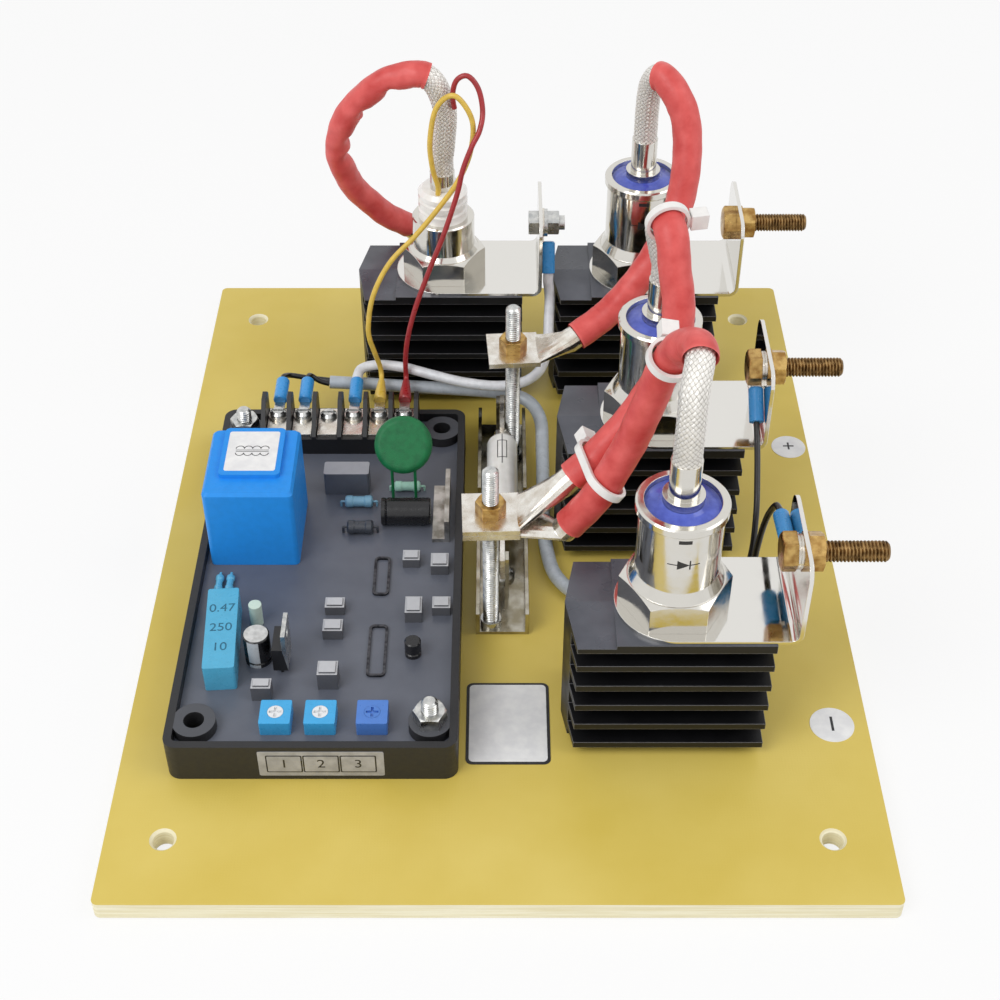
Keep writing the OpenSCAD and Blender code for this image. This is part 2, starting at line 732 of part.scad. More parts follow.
// Heatsink fin profile across the web: top plate, web and fins
module sink_profile() {
    fin_count = floor((sink_h - fin_t - fin_foot) / fin_pitch);
    translate([-sink_web_t / 2, 0]) square([sink_web_t, sink_h]);
    translate([-sink_d / 2, sink_h - sink_top_t]) square([sink_d, sink_top_t]);
    for (k = [1 : fin_count])
        translate([-sink_d / 2, sink_h - k * fin_pitch - fin_t]) square([sink_d, fin_t]);
}

// Finned heatsink with a mitred left end, a tapped stud hole and two screw holes
module heatsink(at, stud_d) {
    ridge_run = sink_w / 2 + sink_point + over;
    color([0.09, 0.09, 0.1]) translate([at.x, at.y, board_t]) difference() {
        intersection() {
            rotate([90, 0, 90]) translate([0, 0, -sink_w / 2 - sink_point])
                linear_extrude(sink_w + sink_point) sink_profile();
            linear_extrude(sink_h) polygon([
                [sink_w / 2, -sink_d / 2], [sink_w / 2, sink_d / 2], [-sink_w / 2, sink_d / 2],
                [-sink_w / 2 - sink_point, 0], [-sink_w / 2, -sink_d / 2]
            ]);
        }
        for (side = [-1, 1]) rotate([90, 0, -90]) translate([0, sink_h, wing_from])
            linear_extrude(ridge_run) polygon([
                [0, 0], [side * sink_d, -2 * ridge_fall], [side * sink_d, over], [0, over]
            ]);
        translate([0, 0, sink_h - stud_hole_l]) cylinder(d = stud_d + screw_play, h = stud_hole_l + over);
        for (k = [-1, 1]) translate([k * sink_screw_spacing / 2, 0, -over])
            cylinder(d = board_screw_d + screw_play, h = board_screw_bite + 2 * over);
    }
}
// Room below a stud, and the depth of its hole from the top of the heatsink
stud_hole_spare = 2;
stud_hole_l = diode_stud_l + stud_hole_spare;
// Where the sloping roof of the left wing begins, left of the device axis
wing_from = busbar_d / 2;

// Face of a busbar's flange, h high, with round upper corners
module flange_face(h) {
    hull() {
        translate([-busbar_d / 2, 0]) square([busbar_d, h - flange_corner_r]);
        for (s = [-1, 1]) translate([s * (busbar_d / 2 - flange_corner_r), h - flange_corner_r])
            circle(flange_corner_r);
    }
}

// Busbar: plate with a round end under the device, bent up into a flange
module busbar(at, stud_d, hole_d) {
    color("lightgray") translate([at.x, at.y, deck_z - busbar_t]) difference() {
        union() {
            linear_extrude(busbar_t) {
                circle(d = busbar_d);
                translate([0, -busbar_d / 2]) square([flange_reach - bend_r, busbar_d]);
            }
            translate([flange_reach, 0, bend_r]) rotate([90, 0, -90]) linear_extrude(busbar_t)
                flange_face(flange_h + busbar_t - bend_r);
            translate([flange_reach - bend_r, busbar_d / 2, bend_r]) rotate([90, 0, 0])
                linear_extrude(busbar_d) intersection() {
                    difference() {
                        circle(bend_r);
                        circle(bend_r - busbar_t);
                    }
                    translate([0, -bend_r]) square(bend_r);
                }
        }
        translate([0, 0, -over]) cylinder(d = stud_d + screw_play, h = busbar_t + 2 * over);
        translate([flange_reach - busbar_t - over, 0, busbar_t + flange_bolt_h]) rotate([0, 90, 0])
            cylinder(d = hole_d + screw_play, h = busbar_t + 2 * over);
    }
}

// Rectifier diode: stud, hexagon, sloping shoulder, can and rim with the seal's recess
module rectifier_diode(at) {
    rim_z = diode_hex_h + diode_can_h;
    color("gainsboro") translate([at.x, at.y, deck_z]) {
        hexagon(diode_af, diode_hex_h);
        difference() {
            rotate_extrude() polygon([
                [0, -diode_stud_l], [diode_stud_d / 2 - stud_bevel, -diode_stud_l],
                [diode_stud_d / 2, stud_bevel - diode_stud_l], [diode_stud_d / 2, diode_hex_h / 2],
                [diode_af / 2 - hex_edge, diode_hex_h / 2], [diode_af / 2 - hex_edge, diode_hex_h],
                [diode_can_d / 2, diode_hex_h + diode_shoulder_h],
                [diode_can_d / 2, rim_z - diode_rim_h - rim_slope],
                [diode_rim_d / 2, rim_z - diode_rim_h], [diode_rim_d / 2, rim_z - rim_edge],
                [diode_rim_d / 2 - rim_edge, rim_z], [0, rim_z]
            ]);
            translate([0, 0, rim_z - diode_seal_depth])
                cylinder(d = diode_seal_d, h = diode_seal_depth + over);
        }
    }
}
// Set-back of a device's shoulder from the flats of its hexagon
hex_edge = 0.4;
// Slope under a diode's rim and the bevel on its edge
rim_slope = 0.8;
rim_edge = 0.5;

// Coloured glass seals in the tops of the diodes
module diode_seals() {
    foot_z = deck_z + diode_hex_h + diode_can_h - diode_seal_depth;
    color("royalblue") for (k = [0 : 2]) translate([sink_right_x, row_y[k], foot_z]) difference() {
        rotate_extrude() polygon([
            [0, 0], [diode_seal_d / 2 - seat_gap, 0], [diode_seal_d / 2 - seat_gap, seal_edge_h],
            [tube_collar_d / 2 + seal_lip_w, diode_seal_depth - seal_lip_h],
                [tube_collar_d / 2, diode_seal_depth],
            [0, diode_seal_depth]
        ]);
        translate([0, 0, -over]) cylinder(d = tube_d + 2 * seat_gap, h = diode_seal_depth + 2 * over);
    }
}
// Thickness of a seal at its edge, and the width and height of the lip round its collar
seal_edge_h = 2.4;
seal_lip_w = 1;
seal_lip_h = 0.6;

// Crimped terminal tubes on top of the diodes and the thyristor
module terminal_tubes() {
    color("gainsboro") {
        for (k = [0 : 2]) translate([sink_right_x, row_y[k], diode_tube_z - tube_h]) {
            translate([0, 0, -diode_seal_depth]) cylinder(d = tube_d, h = diode_seal_depth + tube_h);
            cylinder(d = tube_collar_d, h = tube_collar_h);
        }
        translate([sink_left_x, row_y[2], thy_top_z]) cylinder(d = tube_d, h = thy_tube_h);
    }
}

// Thyristor: stud, hexagon and can
module thyristor_base() {
    can_z = thy_hex_h + thy_can_h;
    color("gainsboro") translate([sink_left_x, row_y[2], deck_z]) {
        hexagon(thy_af, thy_hex_h);
        rotate_extrude() polygon([
            [0, -diode_stud_l], [diode_stud_d / 2 - stud_bevel, -diode_stud_l],
            [diode_stud_d / 2, stud_bevel - diode_stud_l], [diode_stud_d / 2, thy_hex_h / 2],
            [thy_af / 2 - hex_edge, thy_hex_h / 2], [thy_af / 2 - hex_edge, thy_hex_h],
            [thy_can_d / 2, thy_hex_h + thy_shoulder_h], [thy_can_d / 2, can_z - rim_edge],
            [thy_can_d / 2 - rim_edge, can_z], [0, can_z]
        ]);
    }
}

// Height of the shoulder above the thyristor's hexagon
thy_shoulder_h = 1.6;

// White ceramic of the thyristor, grooved round its side
module thyristor_insulator() {
    groove_pitch = thy_ceramic_h / (thy_groove_count + 1);
    color("ivory") translate([sink_left_x, row_y[2], deck_z + thy_hex_h + thy_can_h]) difference() {
        rotate_extrude() polygon([
            [0, 0], [thy_ceramic_d / 2, 0], [thy_ceramic_d / 2, thy_ceramic_h - ceramic_edge],
            [thy_ceramic_d / 2 - ceramic_edge, thy_ceramic_h], [0, thy_ceramic_h]
        ]);
        for (k = [1 : thy_groove_count]) translate([0, 0, k * groove_pitch]) rotate_extrude()
            translate([thy_ceramic_d / 2, 0]) circle(groove_r);
    }
}
// Bevel on top of the ceramic and radius of its grooves
ceramic_edge = 1.4;
groove_r = 0.9;

// Pigtail paths, shared by braids, sleeves, lugs and ties
pigtail_routes = [front_route, middle_route, rear_route, thyristor_route];
pigtail_paths = [for (r = pigtail_routes) smooth_path(r, pigtail_steps)];
// Corners round a braid and round a sleeve
braid_sides = 10;
sleeve_sides = 12;
// Ring at which a braid enters its sleeve
sleeve_ring = braid_points * pigtail_steps;

// Bare copper braids between the terminal tubes and the sleeves
module braids() {
    color("silver") for (path = pigtail_paths) cord(path, braid_d, braid_sides, 0, sleeve_ring);
}

// Red insulating sleeve over the rest of a pigtail
module sleeve(path, d) {
    color("firebrick") cord(path, d, sleeve_sides, sleeve_ring, len(path) - 1);
}

// Cable lug from a sleeve's end to a post: palm with its hole, flattened tail and round barrel
module cable_lug(post, palm_z, path, turn) {
    mouth = path[len(path) - 1];
    away = -path_directions(path)[len(path) - 1];
    side = [-sin(turn), cos(turn), 0];
    root = [post.x, post.y, palm_z + lug_t / 2] + (lug_w / 2 - tail_lap) * [cos(turn), sin(turn), 0];
    heel = mouth - lug_barrel_l * away;
    barrel_side = unit(side - (side * away) * away);
    barrel_up = cross(away, barrel_side);
    flat_root = ring_points(root, side,
        [0, 0, 1], lug_w - tail_lap, lug_t - 2 * palm_gap, palm_bulge, lug_sides);
    round_heel = ring_points(heel, barrel_side, barrel_up, lug_barrel_d, lug_barrel_d, 1, lug_sides);
    round_mouth = ring_points(mouth, barrel_side, barrel_up, lug_barrel_d, lug_barrel_d, 1, lug_sides);
    translate([post.x, post.y, palm_z]) rotate(turn) difference() {
        translate([-lug_w / 2, -lug_w / 2, 0]) cube([lug_w, lug_w, lug_t]);
        translate([0, 0, -over]) cylinder(d = post_d + screw_play, h = lug_t + 2 * over);
    }
    skin(concat(
        [flat_root],
        [for (f = tail_steps) flat_root + f * f * (3 - 2 * f) * (round_heel - flat_root)],
        [round_heel, round_mouth]
    ));
}
// Corners round a lug's section
lug_sides = 16;
// How far the tail reaches into the palm, how square it is there, and where its rings are
tail_lap = 0.8;
palm_bulge = 0.5;
tail_steps = [0.35, 0.7];

// Tinned cable lugs of the four pigtails
module cable_lugs() {
    color("whitesmoke") {
        cable_lug(front_post, front_stack_z, pigtail_paths[0], front_palm_turn);
        cable_lug(front_post, front_stack_z + lug_t + palm_gap, pigtail_paths[1], front_palm_turn);
        cable_lug(rear_post, rear_stack_z, pigtail_paths[2], rear_palm_turn);
        cable_lug(back_post, back_stack_z, pigtail_paths[3], back_palm_turn);
    }
}
// Directions of the palms, from +X
front_palm_turn = 2;
rear_palm_turn = 4;
back_palm_turn = -138;

// Cable tie: strap round one or two sleeves at p and q, with its head beside p
module cable_tie(p, q, dir, d) {
    reach = norm(q - p);
    across = reach > 0 ? unit(q - p) : square_to(dir);
    up = cross(dir, across);
    multmatrix([
        [across.x, up.x, dir.x, p.x],
        [across.y, up.y, dir.y, p.y],
        [across.z, up.z, dir.z, p.z],
        [0, 0, 0, 1]
    ]) translate([0, 0, -tie_w / 2]) {
        linear_extrude(tie_w) difference() {
            hull() {
                circle(d = d + 2 * tie_t);
                translate([reach, 0]) circle(d = d + 2 * tie_t);
            }
            hull() {
                circle(d = d);
                translate([reach, 0]) circle(d = d);
            }
        }
        translate([-d / 2 - tie_t - tie_head / 2, 0, tie_w / 2])
            cube([tie_head, tie_head, tie_head_l], center = true);
    }
}
// Side of a cable tie's head, and its length along the sleeve
tie_head = 5;
tie_head_l = 4;
// Room between a strap and the sleeves it holds
tie_room = 0.55;

// Tie round the two front pigtails, and one on each of them near its top
module cable_ties() {
    color("white") {
        lower = pigtail_paths[0][tie_ring[0]];
        upper = pigtail_paths[1][tie_ring[1]];
        along = unit(path_directions(pigtail_paths[0])[tie_ring[0]]
            + path_directions(pigtail_paths[1])[tie_ring[1]]);
        across = upper - lower;
        flat_across = across - (across * along) * along;
        cable_tie(lower + flat_across, lower, along, sleeve_d + 2 * tie_room);
        for (t = single_ties) {
            at = pigtail_paths[t[0]][t[1]];
            cable_tie(at, at, path_directions(pigtail_paths[t[0]])[t[1]], sleeve_d + 2 * tie_room);
        }
    }
}
// Rings of the pigtail paths at which the pair is tied
tie_ring = [34, 39];
// Single ties: the pigtail and its ring
single_ties = [[0, 23], [1, 16]];

// Brass terminal bolts through the right-hand flanges, thinner in the nut than at the free end
module terminal_bolts() {
    color("goldenrod") for (k = [0 : 2]) {
        spacer = k < 2 ? ring_t : 0;
        head_x = flange_in(sink_right_x) - spacer;
        nut_end = flange_out(sink_right_x) + washer_t + seat_gap + bolt_nut_h - head_x;
        step_z = nut_end + thread_run_out;
        end_z = nut_end + bolt_free;
        translate([head_x, row_y[k], flange_bolt_z]) rotate([0, 90, 0]) {
            mirror([0, 0, 1]) hexagon(bolt_af, bolt_head_h);
            rotate_extrude() polygon([
                [0, -bolt_head_h / 2], [bolt_core_d / 2, -bolt_head_h / 2],
                [bolt_core_d / 2, step_z], [bolt_d / 2, step_z],
                [bolt_d / 2, end_z - stud_bevel], [bolt_d / 2 - stud_bevel, end_z], [0, end_z]
            ]);
        }
    }
}

// Steel screw, washer and nut through the thyristor's flange
module flange_screw() {
    shank_l = busbar_t + ring_t + washer_t + flange_nut_h + flange_screw_free;
    color("silver") translate([flange_in(sink_left_x), row_y[2], flange_bolt_z]) rotate([0, 90, 0]) {
        mirror([0, 0, 1]) hexagon(flange_screw_af, flange_head_h);
        cylinder(d = flange_screw_d, h = shank_l);
        translate([0, 0, busbar_t + ring_t]) {
            cylinder(d = flange_washer_d, h = washer_t);
            translate([0, 0, washer_t]) hexagon(flange_screw_af, flange_nut_h);
        }
    }
}
// Flange screw: washer diameter, free length past the nut, head and nut heights
flange_washer_d = 9.6;
flange_screw_free = 2;
flange_head_h = 3.4;
flange_nut_h = 4;

// Ring tongue lying on Z = 0 with its barrel toward +X
module ring_tongue(bore, d) {
    difference() {
        linear_extrude(ring_t) {
            circle(d = d);
            translate([0, -neck_w / 2]) square([ring_neck, neck_w]);
        }
        translate([0, 0, -over]) cylinder(d = bore, h = ring_t + 2 * over);
    }
}
// Width of a ring terminal's neck
neck_w = 3.6;
// Room between a ring and the barriers, and the ring diameter that leaves it
ring_play = 0.4;
way_ring_d = way_pitch - barrier_t - ring_play;

// Insulating sleeve of a ring terminal, its axis at the height rise
module ring_boot(rise) {
    translate([ring_neck, 0, rise]) rotate([0, 90, 0]) rotate_extrude() polygon([
        [0, 0], [ring_sleeve_d / 2 - boot_edge, 0], [ring_sleeve_d / 2, boot_edge],
        [ring_sleeve_d / 2, ring_sleeve_l], [0, ring_sleeve_l]
    ]);
}
// Bevel on the near end of an insulating sleeve
boot_edge = 0.5;

// Places children as a ring terminal on the terminal block
module on_way(k) {
    translate([way_x[k], way_y, way_z + plate_t]) rotate(90) children();
}

// Places children as a ring terminal against a flange's face at x, turned about X from
// straight up; a facing of 0 looks left and one of 180 looks right
module on_flange(x, y, turn, facing) {
    translate([x, y, flange_bolt_z]) rotate([turn, 0, 0]) rotate(facing) rotate([0, -90, 0]) children();
}

// Ring tongues on the terminal block and the flanges
module ring_terminals() {
    color("gainsboro") {
        for (k = ring_ways) on_way(k) ring_tongue(way_screw_d + screw_play, way_ring_d);
        on_flange(flange_in(sink_right_x), row_y[0], front_ring_turn, 0)
            ring_tongue(bolt_d + screw_play, ring_d);
        on_flange(flange_in(sink_right_x), row_y[1], middle_ring_turn, 0)
            ring_tongue(bolt_d + screw_play, ring_d);
        on_flange(flange_out(sink_left_x), row_y[2], thyristor_ring_turn, 180)
            ring_tongue(flange_screw_d + screw_play, ring_d);
    }
}

// Blue insulating sleeves of the ring terminals
module ring_terminal_sleeves() {
    color("dodgerblue") {
        for (k = blue_ways) on_way(k) ring_boot(way_rise);
        on_flange(flange_in(sink_right_x), row_y[0], front_ring_turn, 0) ring_boot(flange_rise);
        on_flange(flange_in(sink_right_x), row_y[1], middle_ring_turn, 0) ring_boot(flange_rise);
        on_flange(flange_out(sink_left_x), row_y[2], thyristor_ring_turn, 180) ring_boot(flange_rise);
    }
}

// Places children at a place measured from the module's centre, on the potting
module on_module(at) {
    translate([mod_x + at.x, mod_y + at.y, resin_z]) children();
}

// Plan of the tray's corner bosses
module boss_plan(d) {
    for (sx = [-1, 1], sy = [-1, 1])
        translate([sx * boss_spacing_x / 2, sy * boss_spacing_y / 2]) circle(d = d);
}

// Plan of the tray's inside, inset from its walls and bosses
module tray_plan(inset) {
    w = mod_w - 2 * mod_wall - 2 * inset;
    l = mod_l - 2 * mod_wall - 2 * inset;
    r = mod_corner_r - mod_wall;
    difference() {
        union() {
            square([w - 2 * r, l], center = true);
            square([w, l - 2 * r], center = true);
            for (sx = [-1, 1], sy = [-1, 1]) translate([sx * (w / 2 - r), sy * (l / 2 - r)]) circle(r);
        }
        boss_plan(boss_d + 2 * inset);
    }
}

// Black plastic tray with corner bosses and a ledge for the circuit board
module module_tray() {
    color([0.1, 0.1, 0.12]) translate([mod_x, mod_y, board_t]) difference() {
        rounded_plate(mod_w, mod_l, mod_h, mod_corner_r);
        translate([0, 0, mod_floor + pcb_ledge_h]) linear_extrude(mod_h) tray_plan(0);
        translate([0, 0, mod_floor]) linear_extrude(mod_h) tray_plan(pcb_ledge);
        translate([0, 0, -over]) linear_extrude(mod_h + 2 * over) boss_plan(boss_hole_d);
    }
}

// Circuit board on the tray's ledge
module module_circuit_board() {
    color("darkgreen") translate([mod_x, mod_y, board_t + mod_floor + pcb_ledge_h])
        linear_extrude(pcb_t) tray_plan(seat_gap);
}

// Black potting over the circuit board
module potting_resin() {
    foot = mod_floor + pcb_ledge_h + pcb_t;
    color([0.13, 0.13, 0.16]) translate([mod_x, mod_y, board_t + foot])
        linear_extrude(resin_level - foot) tray_plan(seat_gap);
}

// Encapsulated transformer with a raised pad on top
module transformer() {
    color("dodgerblue") on_module(trafo_at) {
        rounded_plate(trafo_w, trafo_l, trafo_h - trafo_r, trafo_r);
        translate([0, 0, trafo_h - trafo_r]) hull() {
            rounded_plate(trafo_w, trafo_l, trafo_r / 3, trafo_r, $fn = trafo_facets);
            rounded_plate(trafo_w - trafo_r, trafo_l - trafo_r, trafo_r, trafo_r, $fn = trafo_facets);
        }
        translate([0, trafo_pad_shift, trafo_h])
            rounded_plate(trafo_w - trafo_pad_inset, trafo_l - trafo_pad_inset, trafo_pad_h, trafo_r);
    }
}
// Facets round the case's upper corners
trafo_facets = 24;
// How much smaller the raised pad is than the case, and how far back it sits
trafo_pad_inset = 9;
trafo_pad_shift = 3;

// Barrier terminal block: body with front ledge, wells and sloping barriers
module terminal_block() {
    block_w = way_count * way_pitch + barrier_t;
    color([0.1, 0.1, 0.12]) on_module(block_at) {
        difference() {
            translate([-block_w / 2, -block_d / 2, 0]) cube([block_w, block_d, block_plate_h]);
            for (x = way_x)
                translate([x - mod_x - block_at.x, way_set_back, block_plate_h - way_screw_bite])
                    cylinder(d = way_screw_d + screw_play, h = way_screw_bite + over);
        }
        for (k = [0 : way_count])
            translate([(k - way_count / 2) * way_pitch - barrier_t / 2, 0, 0]) rotate([90, 0, 90])
                linear_extrude(barrier_t) polygon([
                    [-block_d / 2, 0], [block_d / 2, 0], [block_d / 2, barrier_h - barrier_bevel],
                    [block_d / 2 - barrier_bevel, barrier_h], [barrier_front, barrier_h],
                    [-block_d / 2, block_plate_h + barrier_toe]
                ]);
    }
}
// Bevel at the rear of a barrier, front of its flat top, and its toe above the plates
barrier_bevel = 2;
barrier_front = 2;
barrier_toe = 1;

// Plated contact plates in the wells of the terminal block
module terminal_plates() {
    color("gainsboro") for (x = way_x) difference() {
        translate([x - plate_w / 2, mod_y + block_at.y - block_d / 2 + plate_set_back, way_z])
            cube([plate_w, block_d - 2 * plate_set_back, plate_t]);
        translate([x, way_y, way_z - over]) cylinder(d = way_screw_d + screw_play, h = plate_t + 2 * over);
    }
}
// Contact plate: room beside the barriers, width and set-back from the block's faces
plate_play = 0.6;
plate_w = way_pitch - barrier_t - plate_play;
plate_set_back = 1.5;

// Slotted screws of the terminal block, through the plates into the body
module terminal_screws() {
    color("silver") for (k = [0 : way_count - 1]) {
        lift = len(search(k, ring_ways)) > 0 ? ring_t : 0;
        translate([way_x[k], way_y, way_z - way_screw_bite]) {
            cylinder(d = way_screw_d, h = way_screw_bite + plate_t + lift + way_screw_head_h / 2);
            translate([0, 0, way_screw_bite + plate_t + lift]) pan_head(way_screw_head_d, way_screw_head_h);
        }
    }
}
// Depth of a terminal screw in the block
way_screw_bite = 4;

// Disc varistor leaning back on its two legs
module varistor() {
    color("seagreen") on_module(varistor_at) {
        for (s = [-1, 1]) translate([s * varistor_leg_spacing / 2, 0, 0])
            cylinder(d = varistor_leg_d, h = varistor_leg_h + varistor_leg_bite);
        translate([0, 0, varistor_leg_h]) rotate([-varistor_lean, 0, 0])
            translate([0, varistor_t / 2, varistor_d / 2 - varistor_sink]) rotate([90, 0, 0])
                rotate_extrude() union() {
                    square([(varistor_d - varistor_t) / 2, varistor_t]);
                    translate([(varistor_d - varistor_t) / 2, varistor_t / 2]) circle(d = varistor_t);
                }
    }
}
// Varistor sizes and its lean from upright
varistor_d = 19;
varistor_t = 4.4;
varistor_lean = 40;
varistor_leg_d = 1;
varistor_leg_spacing = 7.5;
varistor_leg_h = 14.2;
varistor_leg_bite = 2;
varistor_sink = 1;

// Long moulded film capacitor
module film_capacitor_blue() {
    color("lightskyblue") on_module(blue_film_at) rotate(blue_film_turn)
        rounded_plate(blue_film_w, blue_film_l, blue_film_h, film_corner_r);
}
blue_film_w = 9.4;
blue_film_l = 33;
blue_film_h = 9.5;
blue_film_turn = 4;
film_corner_r = 0.8;

// Box film capacitor
module film_capacitor_grey() {
    color("dimgray") on_module(grey_film_at)
        rounded_plate(grey_film_w, grey_film_l, grey_film_h, film_corner_r);
}
grey_film_w = 15;
grey_film_l = 6.4;
grey_film_h = 9;

// Aluminium can with a rolled groove and a bevelled top
module can_body(d, h) {
    rotate_extrude() polygon([
        [0, 0], [d / 2, 0], [d / 2, can_groove_z - can_groove], [d / 2 - can_groove, can_groove_z],
        [d / 2, can_groove_z + can_groove], [d / 2, h - can_groove], [d / 2 - can_groove, h], [0, h]
    ]);
}
can_groove = 0.4;
can_groove_z = 1.6;

// Two upright electrolytic capacitors and one that lies along X
module electrolytic_capacitors() {
    color([0.12, 0.12, 0.14]) {
        on_module(upright_can_at) can_body(upright_can_d, upright_can_h);
        on_module(small_can_at) can_body(small_can_d, small_can_h);
        on_module(lying_can_at) translate([-lying_can_l / 2, 0, lying_can_d / 2]) rotate([0, 90, 0])
            can_body(lying_can_d, lying_can_l);
    }
}
upright_can_d = 8;
upright_can_h = 11;
small_can_d = 5;
small_can_h = 6;
lying_can_d = 9;
lying_can_l = 16;

// Power transistor standing on three legs, its tab facing right
module power_transistor() {
    color([0.14, 0.14, 0.15]) on_module(transistor_at) {
        for (k = [-1 : 1]) translate([-leg_s / 2, k * leg_pitch - leg_s / 2, 0])
            cube([leg_s, leg_s, leg_h + leg_bite]);
        translate([-transistor_t / 2, -transistor_w / 2, leg_h])
            cube([transistor_t, transistor_w, transistor_h]);
        difference() {
            translate([transistor_t / 2 - tab_t, -transistor_w / 2, leg_h])
                cube([tab_t, transistor_w, transistor_h + tab_rise]);
            translate([0, 0, leg_h + transistor_h + tab_rise / 2]) rotate([0, 90, 0])
                cylinder(d = tab_hole_d, h = transistor_t);
        }
    }
}
transistor_w = 10;
transistor_t = 4.4;
transistor_h = 8.6;
tab_t = 1.3;
tab_rise = 5.8;
tab_hole_d = 3.4;
leg_s = 0.8;
leg_pitch = 2.54;
leg_h = 3;
leg_bite = 1;

// Aluminium angle that cools the parts beside the tray's right wall
module heat_spreader() {
    color("silver") on_module(spreader_at) translate([0, -spreader_l / 2, 0]) {
        cube([spreader_t, spreader_l, spreader_h]);
        translate([-spreader_foot, 0, 0]) cube([spreader_foot + spreader_t, spreader_l, spreader_t]);
    }
}
spreader_t = 1.5;
spreader_l = 26;
spreader_h = 9;
spreader_foot = 4;

// Axial part with bent legs, lying along X
module axial_part(d, l) {
    waist = d / 2 - axial_edge / 2;
    translate([0, 0, d / 2]) rotate([0, 90, 0]) {
        translate([0, 0, -l / 2]) rotate_extrude() polygon([
            [0, 0], [d / 2 - axial_edge, 0], [d / 2, axial_edge], [d / 2, l / 4],
                [waist, l / 4 + axial_edge],
            [waist, 3 * l / 4 - axial_edge], [d / 2, 3 * l / 4], [d / 2, l - axial_edge],
            [d / 2 - axial_edge, l], [0, l]
        ]);
        translate([0, 0, -l / 2 - axial_leg]) cylinder(d = link_wire_d, h = l + 2 * axial_leg);
    }
    for (s = [-1, 1]) translate([s * (l / 2 + axial_leg), 0, 0]) cylinder(d = link_wire_d, h = d / 2);
}
axial_leg = 1.4;
axial_edge = 0.5;

// Axial resistors and diodes, and one resistor on end
module resistors() {
    color("lightsteelblue") {
        for (p = axial_parts) on_module(p) rotate(p[4]) axial_part(p[2], p[3]);
        on_module(upright_resistor_at) cylinder(d = upright_resistor_d, h = upright_resistor_h);
    }
}
upright_resistor_d = 4;
upright_resistor_h = 8;

// Small moulded blocks with sloping sides
module chip_blocks() {
    color("dimgray") for (p = block_parts) on_module(p) {
        translate([-p[2] / 2, -p[3] / 2, 0]) cube([p[2], p[3], p[4] - block_step]);
        translate([-p[2] / 2 + block_step, -p[3] / 2 + block_step, 0])
            cube([p[2] - 2 * block_step, p[3] - 2 * block_step, p[4]]);
    }
}
block_step = 0.6;

// Bare wire links, each a narrow loop on the resin
module jumper_wires() {
    color("silver") for (p = link_loops) on_module(p) difference() {
        rounded_plate(p[2], p[3], link_wire_d, link_bend_r);
        translate([0, 0, -over]) rounded_plate(p[2] - 2 * link_wire_d, p[3] - 2 * link_wire_d,
            link_wire_d + 2 * over, link_bend_r - link_wire_d);
    }
}

// Trimmer bodies with a round well for the adjuster
module trimmer_bodies() {
    color("dodgerblue") for (at = trimmer_at) on_module(at) difference() {
        rounded_plate(trimmer_s, trimmer_s, trimmer_h, trimmer_corner_r);
        translate([0, 0, trimmer_h - adjuster_h])
            cylinder(d = adjuster_d + 2 * adjuster_gap, h = adjuster_h + over);
    }
}

// Slotted adjuster, turning in its trimmer body
module trimmer_adjuster(at) {
    color("white") on_module(at) translate([0, 0, trimmer_h - adjuster_h + adjuster_gap]) difference() {
        cylinder(d = adjuster_d, h = adjuster_h);
        for (turn = [0, 90]) rotate(turn) translate([-slot_reach, -slot_w / 2, adjuster_h - slot_depth])
            cube([2 * slot_reach, slot_w, slot_depth + over]);
    }
}
// Corner radius of a trimmer, and the reach of an adjuster's cross slot from its middle
trimmer_corner_r = 0.5;
slot_reach = 1.8;

// Sheet brackets that carry the fuse and its posts
module fuse_brackets() {
    color("silver") for (k = [0, 1])
        translate([bracket_x, bracket_front_y[k], board_t]) difference() {
            union() {
                translate([-bracket_w / 2, 0, 0]) cube([bracket_w, bracket_l, bracket_t]);
                for (s = [-1, 1]) translate([s * (bracket_w - bracket_t) / 2 - bracket_t / 2, 0, 0])
                    cube([bracket_t, bracket_l, bracket_h]);
                for (s = [-1, 1]) translate([
                    s * (tag_t / 2 + seat_gap + bracket_t / 2) - bracket_t / 2,
                    jaw_y(k) - bracket_front_y[k] - jaw_l / 2, 0])
                    cube([bracket_t, jaw_l, fuse_axis_h + tag_w / 2]);
            }
            for (y = bracket_screw_y) translate([0, y - bracket_front_y[k], -over])
                cylinder(d = bracket_screw_d, h = bracket_t + 2 * over);
            for (p = [front_post, rear_post]) translate([p.x - bracket_x, p.y - bracket_front_y[k], -over])
                cylinder(d = post_d + screw_play, h = bracket_t + 2 * over);
        }
}
// Length of the jaws that grip a tag, and their set-back from its end
jaw_l = 4;
jaw_set_back = 0.5;
// Middle of the jaws of each bracket
function jaw_y(k) =
    fuse_mid_y + (k == 0 ? -1 : 1) * (fuse_l / 2 + fuse_neck_l + tag_l - jaw_set_back - jaw_l / 2);

// Ceramic fuse barrel with rounded shoulders
module fuse_link() {
    straight = fuse_l - 2 * fuse_shoulder_r;
    color("white") translate([bracket_x, fuse_mid_y + straight / 2, board_t + fuse_axis_h])
        rotate([90, 0, 0])
        rotate_extrude() {
            square([fuse_d / 2, straight]);
            translate([0, -fuse_shoulder_r]) square([fuse_d / 2 - fuse_shoulder_r, fuse_l]);
            for (z = [0, straight]) translate([fuse_d / 2 - fuse_shoulder_r, z]) intersection() {
                circle(fuse_shoulder_r);
                translate([0, -fuse_shoulder_r]) square([fuse_shoulder_r, 2 * fuse_shoulder_r]);
            }
        }
}
// Radius of the barrel's shoulders
fuse_shoulder_r = 2.4;

